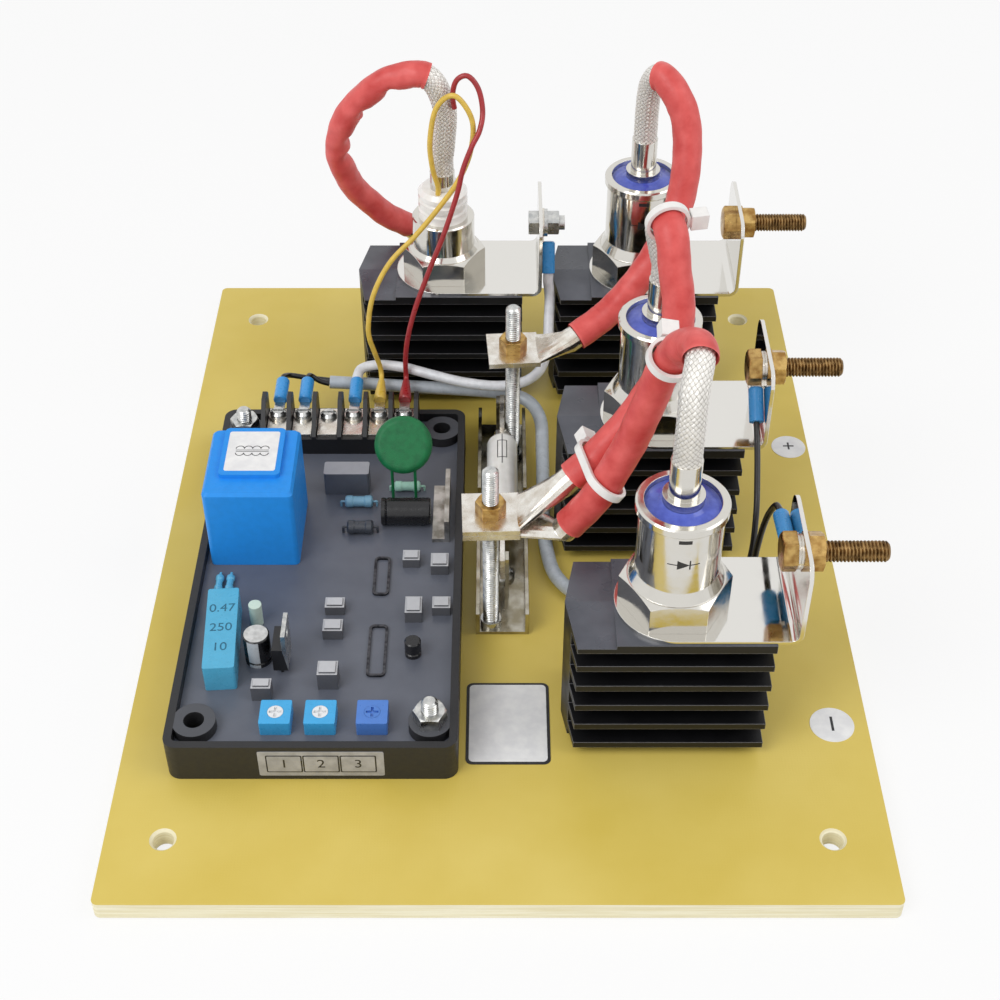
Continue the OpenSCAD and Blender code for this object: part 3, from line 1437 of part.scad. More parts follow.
// Metal necks and knife tags at the ends of the fuse
module fuse_tags() {
    color("gainsboro") for (s = [-1, 1])
        translate([bracket_x, fuse_mid_y + s * fuse_l / 2, board_t + fuse_axis_h]) rotate([-90 * s, 0, 0]) {
            cylinder(d = fuse_neck_d, h = fuse_neck_l);
            translate([-tag_t / 2, -tag_w / 2, fuse_neck_l - tag_root])
                cube([tag_t, tag_w, tag_l + tag_root]);
        }
}

// How far a tag reaches into its neck
tag_root = 1;

// Gate lead and its coloured boot at the terminal block
module gate_lead(route, way, shade) {
    color(shade) {
        lead(route, gate_lead_d, lead_sides);
        on_way(way) ring_boot(way_rise);
    }
}

// Lead from the thyristor's flange to the terminal block
module white_lead() {
    color("white") lead(white_route, white_lead_d, lead_sides);
}

// Grey sleeve round the two sensing leads
module harness_sleeve() {
    color("lightgray") lead(harness_route, harness_d, harness_sides);
}

// Sensing leads where they leave the grey sleeve
module black_leads() {
    color([0.08, 0.08, 0.08])
        for (route = [first_lead_in, second_lead_in, front_lead_out, middle_lead_out])
            lead(route, black_lead_d, lead_sides);
}
// Corners round a lead and round the harness sleeve
lead_sides = 8;
harness_sides = 10;

base_board();
board_screws();
threaded_studs();
steel_nuts();
brass_nuts();
module_tray();
module_circuit_board();
potting_resin();
transformer();
terminal_block();
terminal_plates();
terminal_screws();
varistor();
film_capacitor_blue();
film_capacitor_grey();
electrolytic_capacitors();
power_transistor();
heat_spreader();
resistors();
chip_blocks();
jumper_wires();
trimmer_bodies();
trimmer_adjuster(trimmer_at[0]);  // trimmer_adjuster_1
trimmer_adjuster(trimmer_at[1]);  // trimmer_adjuster_2
trimmer_adjuster(trimmer_at[2]);  // trimmer_adjuster_3
heatsink(sink_at[0], diode_stud_d);  // heatsink_front
heatsink(sink_at[1], diode_stud_d);  // heatsink_middle
heatsink(sink_at[2], diode_stud_d);  // heatsink_rear
heatsink(sink_at[3], diode_stud_d);  // heatsink_thyristor
busbar(sink_at[0], diode_stud_d, bolt_d);  // busbar_front
busbar(sink_at[1], diode_stud_d, bolt_d);  // busbar_middle
busbar(sink_at[2], diode_stud_d, bolt_d);  // busbar_rear
busbar(sink_at[3], diode_stud_d, flange_screw_d);  // busbar_thyristor
rectifier_diode(sink_at[0]);  // diode_front
rectifier_diode(sink_at[1]);  // diode_middle
rectifier_diode(sink_at[2]);  // diode_rear
diode_seals();
thyristor_base();
thyristor_insulator();
terminal_tubes();
braids();
sleeve(pigtail_paths[0], sleeve_d);  // sleeve_front
sleeve(pigtail_paths[1], sleeve_d);  // sleeve_middle
sleeve(pigtail_paths[2], sleeve_d);  // sleeve_rear
sleeve(pigtail_paths[3], thy_sleeve_d);  // sleeve_thyristor
cable_lugs();
cable_ties();
terminal_bolts();
flange_screw();
ring_terminals();
ring_terminal_sleeves();
fuse_brackets();
fuse_link();
fuse_tags();
gate_lead(yellow_route, yellow_way, "gold");  // gate_lead_yellow
gate_lead(red_route, red_way, "crimson");  // gate_lead_red
white_lead();
harness_sleeve();
black_leads();
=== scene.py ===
# %% [markdown]
# # Dressing a voltage regulator
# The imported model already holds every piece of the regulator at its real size: the board, the
# potted control module, the heatsinks with their stud devices, the pigtails and the leads.
# This lesson gives those pieces their looks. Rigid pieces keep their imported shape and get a
# finish. Braids, sleeves, leads and threads are remade here as finer meshes, because their
# character is in small surface shapes that a plain solid leaves out.

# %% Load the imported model
import math

import bmesh
import bpy
import numpy as np
from mathutils import Matrix, Vector


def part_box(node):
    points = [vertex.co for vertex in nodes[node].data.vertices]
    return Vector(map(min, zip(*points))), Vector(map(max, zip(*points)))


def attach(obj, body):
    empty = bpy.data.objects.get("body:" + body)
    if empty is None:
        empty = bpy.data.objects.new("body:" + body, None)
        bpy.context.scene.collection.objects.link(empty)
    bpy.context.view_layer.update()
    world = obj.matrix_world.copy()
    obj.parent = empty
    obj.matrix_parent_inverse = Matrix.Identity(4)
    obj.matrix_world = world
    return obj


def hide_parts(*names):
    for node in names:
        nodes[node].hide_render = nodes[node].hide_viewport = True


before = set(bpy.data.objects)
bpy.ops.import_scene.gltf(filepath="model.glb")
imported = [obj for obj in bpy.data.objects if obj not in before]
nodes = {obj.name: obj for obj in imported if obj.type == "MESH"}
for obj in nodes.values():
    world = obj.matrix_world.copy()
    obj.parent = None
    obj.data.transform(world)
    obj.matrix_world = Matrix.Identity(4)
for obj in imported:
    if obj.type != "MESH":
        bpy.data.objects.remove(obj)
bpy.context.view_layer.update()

scene = bpy.context.scene
MM = 0.001
BODY = "regulator"

# %% [markdown]
# ## The camera
# The photograph looks down on the board from the front, well above it. The lens and the tilt were
# worked out from the converging sides of the board, so the camera is placed by numbers instead of
# by eye. The sight line lies in the plane X = 0, which makes the tilt a single angle.

# %% Camera
photo_width = 1000
focal_length_px = 1649.9
camera_tilt = math.radians(41.95)
camera_place = Vector((0, -402.5, 384.1)) * MM

camera_data = bpy.data.cameras.new("photo_camera")
camera_data.sensor_width = 36
camera_data.lens = focal_length_px / photo_width * camera_data.sensor_width
camera_data.shift_x = 0.002
camera_data.clip_start = 0.01
camera = bpy.data.objects.new("photo_camera", camera_data)
camera.location = camera_place
camera.rotation_euler = (math.pi / 2 - camera_tilt, 0, 0)
scene.collection.objects.link(camera)
scene.camera = camera
print("camera lens", round(camera_data.lens, 1), "mm")

# %% [markdown]
# ## Colours and finishes
# A colour read from a screen runs from 0 to 255 and is bent for the eye, while a shader socket
# takes a straight, linear value. One small helper turns one into the other. A finish is a material
# that is mixed step by step: a base, then mottling, uneven gloss, relief and softened edges. Each
# step adds a few nodes, so every surface can have its own recipe without repeating the wiring.

# %% Finish helper


def paint(red, green, blue):
    """A screen colour, 0 to 255, as the linear colour of a shader socket."""
    def straight(value):
        value = value / 255
        return value / 12.92 if value <= 0.04045 else ((value + 0.055) / 1.055) ** 2.4
    return (straight(red), straight(green), straight(blue), 1.0)


class Finish:
    """A material that is mixed step by step. Scales are in features per metre."""

    def __init__(self, name, colour, rough, metal=0.0):
        self.material = bpy.data.materials.new(name)
        self.material.use_nodes = True
        self.tree = self.material.node_tree
        self.shader = self.tree.nodes["Principled BSDF"]
        self.shader.inputs["Base Color"].default_value = colour
        self.shader.inputs["Roughness"].default_value = rough
        self.shader.inputs["Metallic"].default_value = metal
        self.normal = None

    def add(self, kind, **values):
        node = self.tree.nodes.new("ShaderNode" + kind)
        for key, value in values.items():
            node.inputs[key.replace("_", " ")].default_value = value
        return node

    def join(self, source, target):
        self.tree.links.new(source, target)

    def calc(self, operation, first, second=0.0):
        """One step of arithmetic on two sides, each a number or a socket."""
        node = self.add("Math")
        node.operation = operation
        for socket, value in zip(node.inputs, (first, second)):
            if isinstance(value, (int, float)):
                socket.default_value = value
            else:
                self.join(value, socket)
        return node.outputs["Value"]

    def where(self, stretch=(1, 1, 1)):
        """The place on the object, in metres, stretched along the axes."""
        coords = self.add("TexCoord")
        mapping = self.add("Mapping", Scale=stretch)
        self.join(coords.outputs["Object"], mapping.inputs["Vector"])
        return mapping.outputs["Vector"]

    def noise(self, scale, detail=3.0, stretch=(1, 1, 1)):
        texture = self.add("TexNoise", Scale=scale, Detail=detail)
        self.join(self.where(stretch), texture.inputs["Vector"])
        return texture.outputs["Fac"]

    def ramp(self, factor, first, second, low=0.35, high=0.65):
        """Colours from first to second as the factor goes from low to high."""
        ramp = self.add("ValToRGB")
        ramp.color_ramp.elements[0].position = low
        ramp.color_ramp.elements[0].color = first
        ramp.color_ramp.elements[1].position = high
        ramp.color_ramp.elements[1].color = second
        self.join(factor, ramp.inputs["Fac"])
        return ramp.outputs["Color"]

    def mottle(self, first, second, scale, low=0.35, high=0.65, stretch=(1, 1, 1)):
        """Cloudy change between two colours."""
        colour = self.ramp(self.noise(scale, 4.0, stretch), first, second, low, high)
        self.join(colour, self.shader.inputs["Base Color"])
        return self

    def ridged(self, first, second, scale, reach):
        """Cloudy change between two colours that leans to the second where the surface folds outwards and to
        the first in the hollows of folds, as painted shade.
        """
        shape = self.add("NewGeometry")
        lean = self.calc("MULTIPLY", self.calc("SUBTRACT", shape.outputs["Pointiness"], 0.5), reach)
        both = self.calc("ADD", lean, self.noise(scale, 4.0))
        self.join(self.ramp(both, first, second, 0.3, 0.8), self.shader.inputs["Base Color"])
        return self

    def gloss(self, low, high, scale):
        """Roughness that wanders between two values."""
        spread = self.add("MapRange", From_Min=0.3, From_Max=0.7, To_Min=low, To_Max=high)
        self.join(self.noise(scale), spread.inputs["Value"])
        self.join(spread.outputs["Result"], self.shader.inputs["Roughness"])
        return self

    def bump(self, height, depth, strength=1.0):
        """Relief from a height between 0 and 1, depth metres deep."""
        bump = self.add("Bump", Strength=strength, Distance=depth)
        self.join(height, bump.inputs["Height"])
        if self.normal:
            self.join(self.normal, bump.inputs["Normal"])
        self.normal = bump.outputs["Normal"]
        self.join(self.normal, self.shader.inputs["Normal"])
        return self

    def grain(self, scale, depth, stretch=(1, 1, 1)):
        """Fine uneven relief."""
        return self.bump(self.noise(scale, 2.0, stretch), depth)

    def soft_edges(self, radius):
        """Edges that catch the light as if rounded to the radius."""
        bevel = self.add("Bevel", Radius=radius)
        bevel.samples = 4
        self.normal = bevel.outputs["Normal"]
        self.join(self.normal, self.shader.inputs["Normal"])
        return self

    def sheen(self, level):
        """How strongly the bare surface mirrors: 0.5 is ordinary plastic."""
        self.shader.inputs["Specular IOR Level"].default_value = level
        return self

    def painted_edge_highlight(self, base, bare, radius):
        """Painted highlight along the edges, in the colour bare, found where a rounded edge's normal leans
        off the true one.
        """
        bevel = self.add("Bevel", Radius=radius)
        bevel.samples = 6
        shape = self.add("NewGeometry")
        lean = self.add("VectorMath")
        lean.operation = "DOT_PRODUCT"
        self.join(bevel.outputs["Normal"], lean.inputs[0])
        self.join(shape.outputs["True Normal"], lean.inputs[1])
        colour = self.ramp(lean.outputs["Value"], bare, base, 0.78, 0.94)
        self.join(colour, self.shader.inputs["Base Color"])
        return self

    def coat(self, weight, rough=0.1):
        """Clear coat over the base."""
        self.shader.inputs["Coat Weight"].default_value = weight
        self.shader.inputs["Coat Roughness"].default_value = rough
        return self


def dress(finish, *names):
    """Gives a finish to whole nodes."""
    for name in names:
        mesh = nodes[name].data
        mesh.materials.clear()
        mesh.materials.append(finish.material)


def dress_faces(finish, name, passes):
    """Gives a finish to the faces of a node whose centre and normal pass a test."""
    mesh = nodes[name].data
    mesh.materials.append(finish.material)
    chosen = [face for face in mesh.polygons if passes(face.center, face.normal)]
    for face in chosen:
        face.material_index = len(mesh.materials) - 1
    print(finish.material.name, "on", len(chosen), "faces of", name)


# %% [markdown]
# ## The base board
# The board is cotton or glass fabric pressed with resin: a warm olive yellow with a faint weave
# just under a satin skin. Its sawn edges are paler and show the pressed layers as fine lines.
# A picture would give the weave too, but two crossed wave textures repeat it at any size.

# %% Base board finish
weave_pitch = 0.9 * MM
layer_pitch = 0.45 * MM


def weave(finish, pitch):
    """Height of a plain weave: two sets of waves at right angles."""
    waves = []
    for axis in ("X", "Y"):
        wave = finish.add("TexWave", Scale=1 / pitch / math.tau * 2, Distortion=1.5, Detail=1.0)
        wave.bands_direction = axis
        finish.join(finish.where(), wave.inputs["Vector"])
        waves.append(wave.outputs["Fac"])
    return finish.calc("MULTIPLY", *waves)


laminate = Finish("laminate_face", paint(216, 192, 92), 0.4)
laminate.mottle(paint(211, 186, 82), paint(220, 197, 101), 26, 0.3, 0.7)
laminate.gloss(0.33, 0.45, 60)
laminate.bump(weave(laminate, weave_pitch), 0.02 * MM, 0.5)

laminate_edge = Finish("laminate_sawn_edge", paint(240, 232, 198), 0.75)
laminate_edge.mottle(paint(232, 222, 182), paint(246, 240, 212), 900, stretch=(0.05, 0.05, 2.5))
laminate_edge.grain(1 / layer_pitch, 0.05 * MM, stretch=(0.04, 0.04, 1))

facing_up = 0.9
dress(laminate, "base_board")
dress_faces(laminate_edge, "base_board", lambda centre, normal: abs(normal.z) < facing_up)

# %% [markdown]
# ## Metals
# Five metals meet on this board. The device cases and busbars are nickel plated and polished, so
# they are little more than a smooth mirror with faint rubbing marks. Brass is duller and tarnishes
# in patches, and it stays dark in the turns of a thread. Zinc-plated steel has a soft, cloudy gloss.
# Tinned copper is pale and slightly rough. The heatsinks are aluminium under a black coat, satin
# between the fins, with a painted highlight along the fin edges. Their top face, which carries the
# busbar, is painted a lighter grey with a little more gloss, as a painted reflection of the white
# surroundings.

# %% Metal finishes


def metal(name, colour, rough, gloss, grain, edge=None, patches=None):
    """Bare metal: tarnish in patches, wandering gloss, softened edges and a fine grain."""
    finish = Finish(name, colour, rough, 1.0)
    if patches:
        finish.mottle(*patches)
    finish.gloss(*gloss)
    if edge:
        finish.soft_edges(edge)
    return finish.grain(*grain)


nickel = metal("polished_nickel", paint(224, 222, 217), 0.08, (0.05, 0.13, 220), (160, 0.01 * MM), 0.3 * MM)
device_nickel = metal("device_case_nickel", paint(214, 211, 204), 0.12, (0.07, 0.2, 300), (240, 0.02 * MM),
                      0.35 * MM)
brass = metal("tarnished_brass", paint(184, 148, 86), 0.32, (0.22, 0.45, 500), (1800, 0.02 * MM), 0.25 * MM,
              (paint(150, 112, 62), paint(204, 170, 106), 380))
dark_brass = metal("dark_brass_thread", paint(134, 106, 68), 0.4, (0.32, 0.5, 500), (1800, 0.02 * MM),
                   patches=(paint(104, 80, 50), paint(160, 130, 86), 500))
zinc = metal("zinc_plated_steel", paint(196, 197, 196), 0.3, (0.2, 0.38, 420), (1500, 0.015 * MM), 0.2 * MM,
             (paint(176, 178, 178), paint(212, 212, 209), 500))
tin = metal("tinned_copper", paint(224, 219, 210), 0.24, (0.16, 0.34, 300), (900, 0.02 * MM), 0.25 * MM,
            (paint(206, 198, 186), paint(232, 229, 222), 260))
# Painted reflection: the bracket steel is painted darker and warmer than bare steel, for the yellow board it
# mirrors. Its patches vary the tone at random.
bracket_steel = metal("bright_bracket_steel", paint(164, 158, 142), 0.2, (0.12, 0.28, 260), (900, 0.02 * MM),
                      0.2 * MM, (paint(136, 128, 108), paint(184, 180, 168), 180))

black_coat = Finish("black_heatsink_coat", paint(15, 15, 17), 0.4).sheen(0.35)
# Painted highlight: the pale grey along the fin edges stands in for light caught by the edges.
black_coat.painted_edge_highlight(paint(15, 15, 17), paint(132, 132, 136), 0.45 * MM)
black_coat.gloss(0.34, 0.48, 120)
black_coat.soft_edges(0.3 * MM)
black_coat.grain(2200, 0.02 * MM)

# Painted reflection: the heatsinks' top faces are painted a lighter grey than the black coat, for the white
# surroundings they mirror.
heatsink_top_reflection_coat = Finish("heatsink_top_painted_reflection", paint(76, 79, 88), 0.3)
heatsink_top_reflection_coat.mottle(paint(68, 71, 80), paint(86, 89, 98), 90)
heatsink_top_reflection_coat.gloss(0.24, 0.38, 120)
heatsink_top_reflection_coat.soft_edges(0.3 * MM)
heatsink_top_reflection_coat.grain(2200, 0.01 * MM)

dress(nickel, "busbar_front", "busbar_middle", "busbar_rear", "busbar_thyristor")
dress(device_nickel, "diode_front", "diode_middle", "diode_rear", "thyristor_base", "terminal_tubes")
dress(brass, "brass_nuts", "terminal_bolts")
dress(zinc, "steel_nuts", "board_screws", "threaded_studs", "flange_screw", "terminal_screws")
dress(bracket_steel, "fuse_brackets")
dress(tin, "cable_lugs", "ring_terminals", "terminal_plates", "fuse_tags")
# The top face of each heatsink takes the lighter grey of the painted reflection.
top_plate = 3 * MM
for row in ("front", "middle", "rear", "thyristor"):
    sink = "heatsink_" + row
    dress(black_coat, sink)
    upper_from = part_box(sink)[1].z - top_plate
    dress_faces(heatsink_top_reflection_coat, sink, lambda centre, normal: normal.z > facing_up and centre.z > upper_from)

# %% [markdown]
# ## Ceramic, glass and mouldings
# The devices are sealed with blue glass or white ceramic, and the control module is a black tray
# filled with poured resin. Poured resin levels itself, so it is smooth but never quite even, while
# moulded plastic has a fine spark-eroded grain. The same recipe with other numbers gives each part.

# %% Mouldings and seals


def moulding(name, colour, rough, grain_depth=0.02 * MM, edge=0.25 * MM, cloud=0.94):
    """Moulded plastic: slightly cloudy, with a fine grain and rounded edges."""
    finish = Finish(name, colour, rough)
    darker = tuple(part * cloud for part in colour[:3]) + (1.0,)
    finish.mottle(darker, colour, 420, 0.3, 0.6)
    finish.gloss(rough - 0.06, rough + 0.08, 700)
    finish.soft_edges(edge)
    return finish.grain(2600, grain_depth)


tray_plastic = moulding("tray_plastic", paint(40, 40, 42), 0.45).sheen(0.4)
block_plastic = moulding("terminal_block_plastic", paint(26, 26, 28), 0.35)
resin = Finish("poured_resin", paint(94, 98, 109), 0.36)
resin.mottle(paint(89, 93, 104), paint(99, 103, 114), 55)
resin.gloss(0.28, 0.42, 70)
resin.grain(130, 0.12 * MM)
blue_case = moulding("transformer_case", paint(36, 146, 236), 0.46).sheen(0.35)
seal_glass = Finish("blue_glass_seal", paint(66, 84, 184), 0.2).sheen(0.3)
seal_glass.mottle(paint(58, 75, 174), paint(82, 100, 200), 260).coat(0.6, 0.04)
seal_glass.grain(300, 0.03 * MM)
ceramic = Finish("white_ceramic", paint(245, 244, 240), 0.22)
ceramic.mottle(paint(239, 238, 233), paint(248, 247, 244), 300).coat(0.5, 0.08)
ceramic.grain(400, 0.02 * MM)

# Painted reflection: the upper sides of the tray's four bosses are painted a lighter grey for the light they
# mirror.
boss_top_reflection = moulding("boss_top_painted_reflection", paint(72, 74, 80), 0.4)
boss_places = [(-87.5, -92), (-19.5, -92), (-87.5, 40), (-19.5, 40)]
boss_radius = 6.3
boss_top_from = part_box("module_tray")[1].z - 0.1 * MM


def on_boss(centre, normal):
    """Whether a face is the upper side of one of the tray's four bosses."""
    gaps = [math.hypot(centre.x / MM - x, centre.y / MM - y) for x, y in boss_places]
    return normal.z > facing_up and centre.z > boss_top_from and min(gaps) < boss_radius


dress(tray_plastic, "module_tray")
dress_faces(boss_top_reflection, "module_tray", on_boss)
dress(block_plastic, "terminal_block")
dress(resin, "potting_resin")
dress(blue_case, "transformer")
dress(seal_glass, "diode_seals")
dress(ceramic, "thyristor_insulator", "fuse_link")
dress(moulding("circuit_laminate", paint(30, 92, 58), 0.4), "module_circuit_board")

# %% [markdown]
# ## Components on the module
# The small components tell the module apart at a glance: a dipped green disc, a long pale blue
# film capacitor, black cans, grey chips and three trimmers. The tops of the chips and of the grey film
# capacitor are painted lighter than their sides, as painted light from above. Several parts share
# one node, so the finish is chosen face by face, by where the face lies.

# %% Component finishes
# Painted light: the grey film capacitor's top is painted lighter than its sides, for light falling from
# above.
film_grey_top_painted_light = moulding("grey_film_case_top_painted_light", paint(164, 165, 172), 0.4)
can_top = Finish("can_top_aluminium", paint(206, 206, 204), 0.35, 1.0)
can_top.mottle(paint(188, 188, 186), paint(216, 216, 214), 600).grain(1500, 0.02 * MM)
can_stripe = moulding("pale_can_stripe", paint(196, 200, 204), 0.3)
# Painted light: the chips' tops are painted lighter than their sides, for light falling from above.
chip_top_painted_light = moulding("chip_top_painted_light", paint(194, 195, 199), 0.45)
spreader_metal = Finish("spreader_aluminium", paint(176, 175, 172), 0.4, 1.0)
spreader_metal.mottle(paint(142, 138, 130), paint(206, 204, 200), 220).grain(1400, 0.04 * MM)
trimmer_dark = moulding("dark_trimmer_case", paint(80, 130, 210), 0.32)
adjuster_white = moulding("white_adjuster", paint(236, 238, 240), 0.3)
link_wire = Finish("dull_link_wire", paint(70, 70, 74), 0.45, 1.0)
link_wire.mottle(paint(52, 52, 56), paint(92, 92, 96), 700).grain(1500, 0.02 * MM)
disc_coat = moulding("varistor_coating", paint(24, 114, 66), 0.4, 0.12 * MM, cloud=0.72).sheen(0.3)

component_looks = {
    "varistor": disc_coat,
    "film_capacitor_blue": moulding("pale_blue_film_case", paint(84, 176, 214), 0.3),
    "film_capacitor_grey": moulding("grey_film_case", paint(98, 101, 110), 0.4),
    "electrolytic_capacitors": moulding("black_can_sleeve", paint(24, 24, 27), 0.24),
    "power_transistor": block_plastic,
    "heat_spreader": spreader_metal,
    "jumper_wires": link_wire,
    "chip_blocks": moulding("chip_side", paint(92, 93, 98), 0.4),
    "trimmer_bodies": moulding("trimmer_case", paint(66, 172, 230), 0.3),
    "trimmer_adjuster_1": adjuster_white,
    "trimmer_adjuster_2": adjuster_white,
    "trimmer_adjuster_3": trimmer_dark,
}
for name, finish in component_looks.items():
    dress(finish, name)
# The lighter tops are painted light from above.
for name, finish in (("film_capacitor_grey", film_grey_top_painted_light), ("chip_blocks", chip_top_painted_light)):
    dress_faces(finish, name, lambda centre, normal: normal.z > facing_up)

# %% [markdown]
# Some parts in a shared node differ from their neighbours: one trimmer is darker, the transistor has
# a bare metal tab, the tall can has a bright top and a pale stripe, and no two resistors match. A
# face is told by its place on the board, in millimetres, and by where it looks.

# %% Odd parts in shared nodes


def near(x, y, reach):
    """A test for faces whose centre lies within reach of a place on the board."""
    def passes(centre, normal):
        return math.hypot(centre.x / MM - x, centre.y / MM - y) < reach
    return passes


trimmer_border = 4 * MM
dark_trimmer_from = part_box("trimmer_adjuster_3")[0].x - trimmer_border
dress_faces(trimmer_dark, "trimmer_bodies", lambda centre, normal: centre.x > dark_trimmer_from)
tab_thickness = 1.4 * MM
tab_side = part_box("power_transistor")[1].x - tab_thickness
dress_faces(zinc, "power_transistor", lambda centre, normal: centre.x > tab_side)

tall_can_place = (-71.9, -65)
tall_can_reach = 5
on_tall_can = near(*tall_can_place, tall_can_reach)


def on_can_top(centre, normal):
    """Whether a face is the flat top of the tall can."""
    return on_tall_can(centre, normal) and normal.z > 0.95


def on_can_stripe(centre, normal):
    """Whether a face is on the tall can's side and looks to the front, not far to the right."""
    to_front = normal.y < -0.8 and normal.x < 0.2
    return on_tall_can(centre, normal) and abs(normal.z) < 0.3 and to_front


dress_faces(can_top, "electrolytic_capacitors", on_can_top)
dress_faces(can_stripe, "electrolytic_capacitors", on_can_stripe)

part_looks = {
    "pale_blue": (paint(122, 170, 196), (-46, 3.6), 8),
    "pale_mint": (paint(168, 214, 196), (-30.3, 11.4), 8),
    "dark_grey": (paint(58, 62, 70), (-44.8, -9.2), 8),
    "sky_blue": (paint(96, 178, 214), (-86, -34.2), 8),
    "milky_mint": (paint(206, 226, 214), (-74.1, -50), 5),
}
dress(moulding("resistor_coat", paint(122, 170, 196), 0.3), "resistors")
for name, (colour, (x, y), reach) in part_looks.items():
    dress_faces(moulding(name + "_coat", colour, 0.3), "resistors", near(x, y, reach))

# %% [markdown]
# ## Smooth paths and swept tubes
# Leads, sleeves and braids are all tubes along a path, so one sweep makes them. The path is a
# smooth curve through a few given points. A frame of two side vectors is carried along it
# without twisting, and each ring of the tube is drawn in that frame. A bevelled curve object would
# make a plain tube as well, but here the radius changes round the ring and along the run.

# %% Path and sweep helpers
sharp_angle = math.radians(40)


def smooth_path(points, steps):
    """Points in metres along a smooth curve through points given in millimetres."""
    points = np.array(points, float) * MM
    last = len(points) - 1
    path = []
    for i in range(last):
        a, b = points[max(i - 1, 0)], points[i]
        c, d = points[i + 1], points[min(i + 2, last)]
        for t in np.arange(steps) / steps:
            path.append(0.5 * (2 * b + (c - a) * t + (2 * a - 5 * b + 4 * c - d) * t ** 2
                               + (3 * b - a - 3 * c + d) * t ** 3))
    path.append(points[last])
    return np.array(path)


def run_along(path):
    """Distance from the start at each point of a path."""
    return np.concatenate([[0], np.cumsum(np.linalg.norm(np.diff(path, axis=0), axis=1))])


def even_path(path, spacing):
    """The same path with points an even distance apart."""
    run = run_along(path)
    count = max(int(round(run[-1] / spacing)), 2)
    spots = np.linspace(0, run[-1], count + 1)
    return np.stack([np.interp(spots, run, path[:, k]) for k in range(3)], axis=1)


def unit_rows(vectors):
    """Rows of vectors, each brought to length 1."""
    return vectors / np.maximum(np.linalg.norm(vectors, axis=1, keepdims=True), 1e-12)


def carried_frame(path):
    """Direction and two side vectors at each point of a path, carried without twisting."""
    along = unit_rows(np.gradient(path, axis=0))
    start = np.array([1.0, 0, 0]) if abs(along[0][0]) < 0.8 else np.array([0, 1.0, 0])
    side = [start]
    for direction in along:
        levelled = side[-1] - (side[-1] @ direction) * direction
        side.append(levelled / np.linalg.norm(levelled))
    side = np.array(side[1:])
    return along, side, np.cross(along, side)


def new_piece(name, vertices, faces, finish, slot, uvs=None):
    """A mesh piece that rides on the regulator."""
    mesh = bpy.data.meshes.new(name)
    mesh.from_pydata([tuple(v) for v in vertices], [], faces)
    if uvs is not None:
        layer = mesh.uv_layers.new(name="around_and_along")
        for loop, uv in zip(layer.data, uvs):
            loop.uv = uv
    mesh.materials.append(finish.material)
    mesh.shade_smooth()
    mesh.set_sharp_from_angle(angle=sharp_angle)
    piece = bpy.data.objects.new(name, mesh)
    scene.collection.objects.link(piece)
    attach(piece, BODY)
    return piece


def ring_faces(rings, sides):
    """Faces of a closed tube of rings: quads along it, then its two ends."""
    faces = []
    for i in range(rings - 1):
        for j in range(sides):
            k = (j + 1) % sides
            faces.append((i * sides + j, i * sides + k, (i + 1) * sides + k, (i + 1) * sides + j))
    faces.append(tuple(range(sides))[::-1])
    faces.append(tuple((rings - 1) * sides + j for j in range(sides)))
    return faces


def sweep(name, path, sides, radius_at, finish, slot):
    """Tube along a path. radius_at takes the angle, the run and how far inside a bend each corner is."""
    along, side, up = carried_frame(path)
    run = run_along(path)
    bend = np.gradient(along, axis=0) / np.maximum(np.gradient(run), 1e-9)[:, None]
    angle = np.arange(sides) / sides * math.tau
    inside = (bend * side).sum(1)[:, None] * np.cos(angle) + (bend * up).sum(1)[:, None] * np.sin(angle)
    radius = radius_at(angle[None, :], run[:, None], inside)
    outward = np.cos(angle)[None, :, None] * side[:, None, :] + np.sin(angle)[None, :, None] * up[:, None, :]
    rings = path[:, None, :] + radius[..., None] * outward
    uvs = []
    for i in range(len(path) - 1):
        for j in range(sides):
            for around, step in ((j, i), (j + 1, i), (j + 1, i + 1), (j, i + 1)):
                uvs.append((around / sides, run[step] / MM))
    uvs.extend([(0, 0)] * (2 * sides))
    return new_piece(name, rings.reshape(-1, 3), ring_faces(len(path), sides), finish, slot, uvs)


# %% [markdown]
# ## The pigtails
# Each device is fed by a tinned copper braid that disappears into a red woven sleeve. The braid is
# two sets of flat strands that wind opposite ways and pass over and under one another, like a
# basket: a height field over the tube gives that, with no strand modelled by itself. The sleeve is
# soft, so it buckles into short creases on the inside of each bend.

# %% Pigtail routes
rise_step = 2.5
thyristor_tube_height = 6


def tube_rise(node, top):
    """Three points straight up from the top of a device's terminal tube."""
    low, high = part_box(node)
    centre = (low + high) / 2 / MM
    return [(centre.x, centre.y, top + rise_step * k) for k in range(3)]


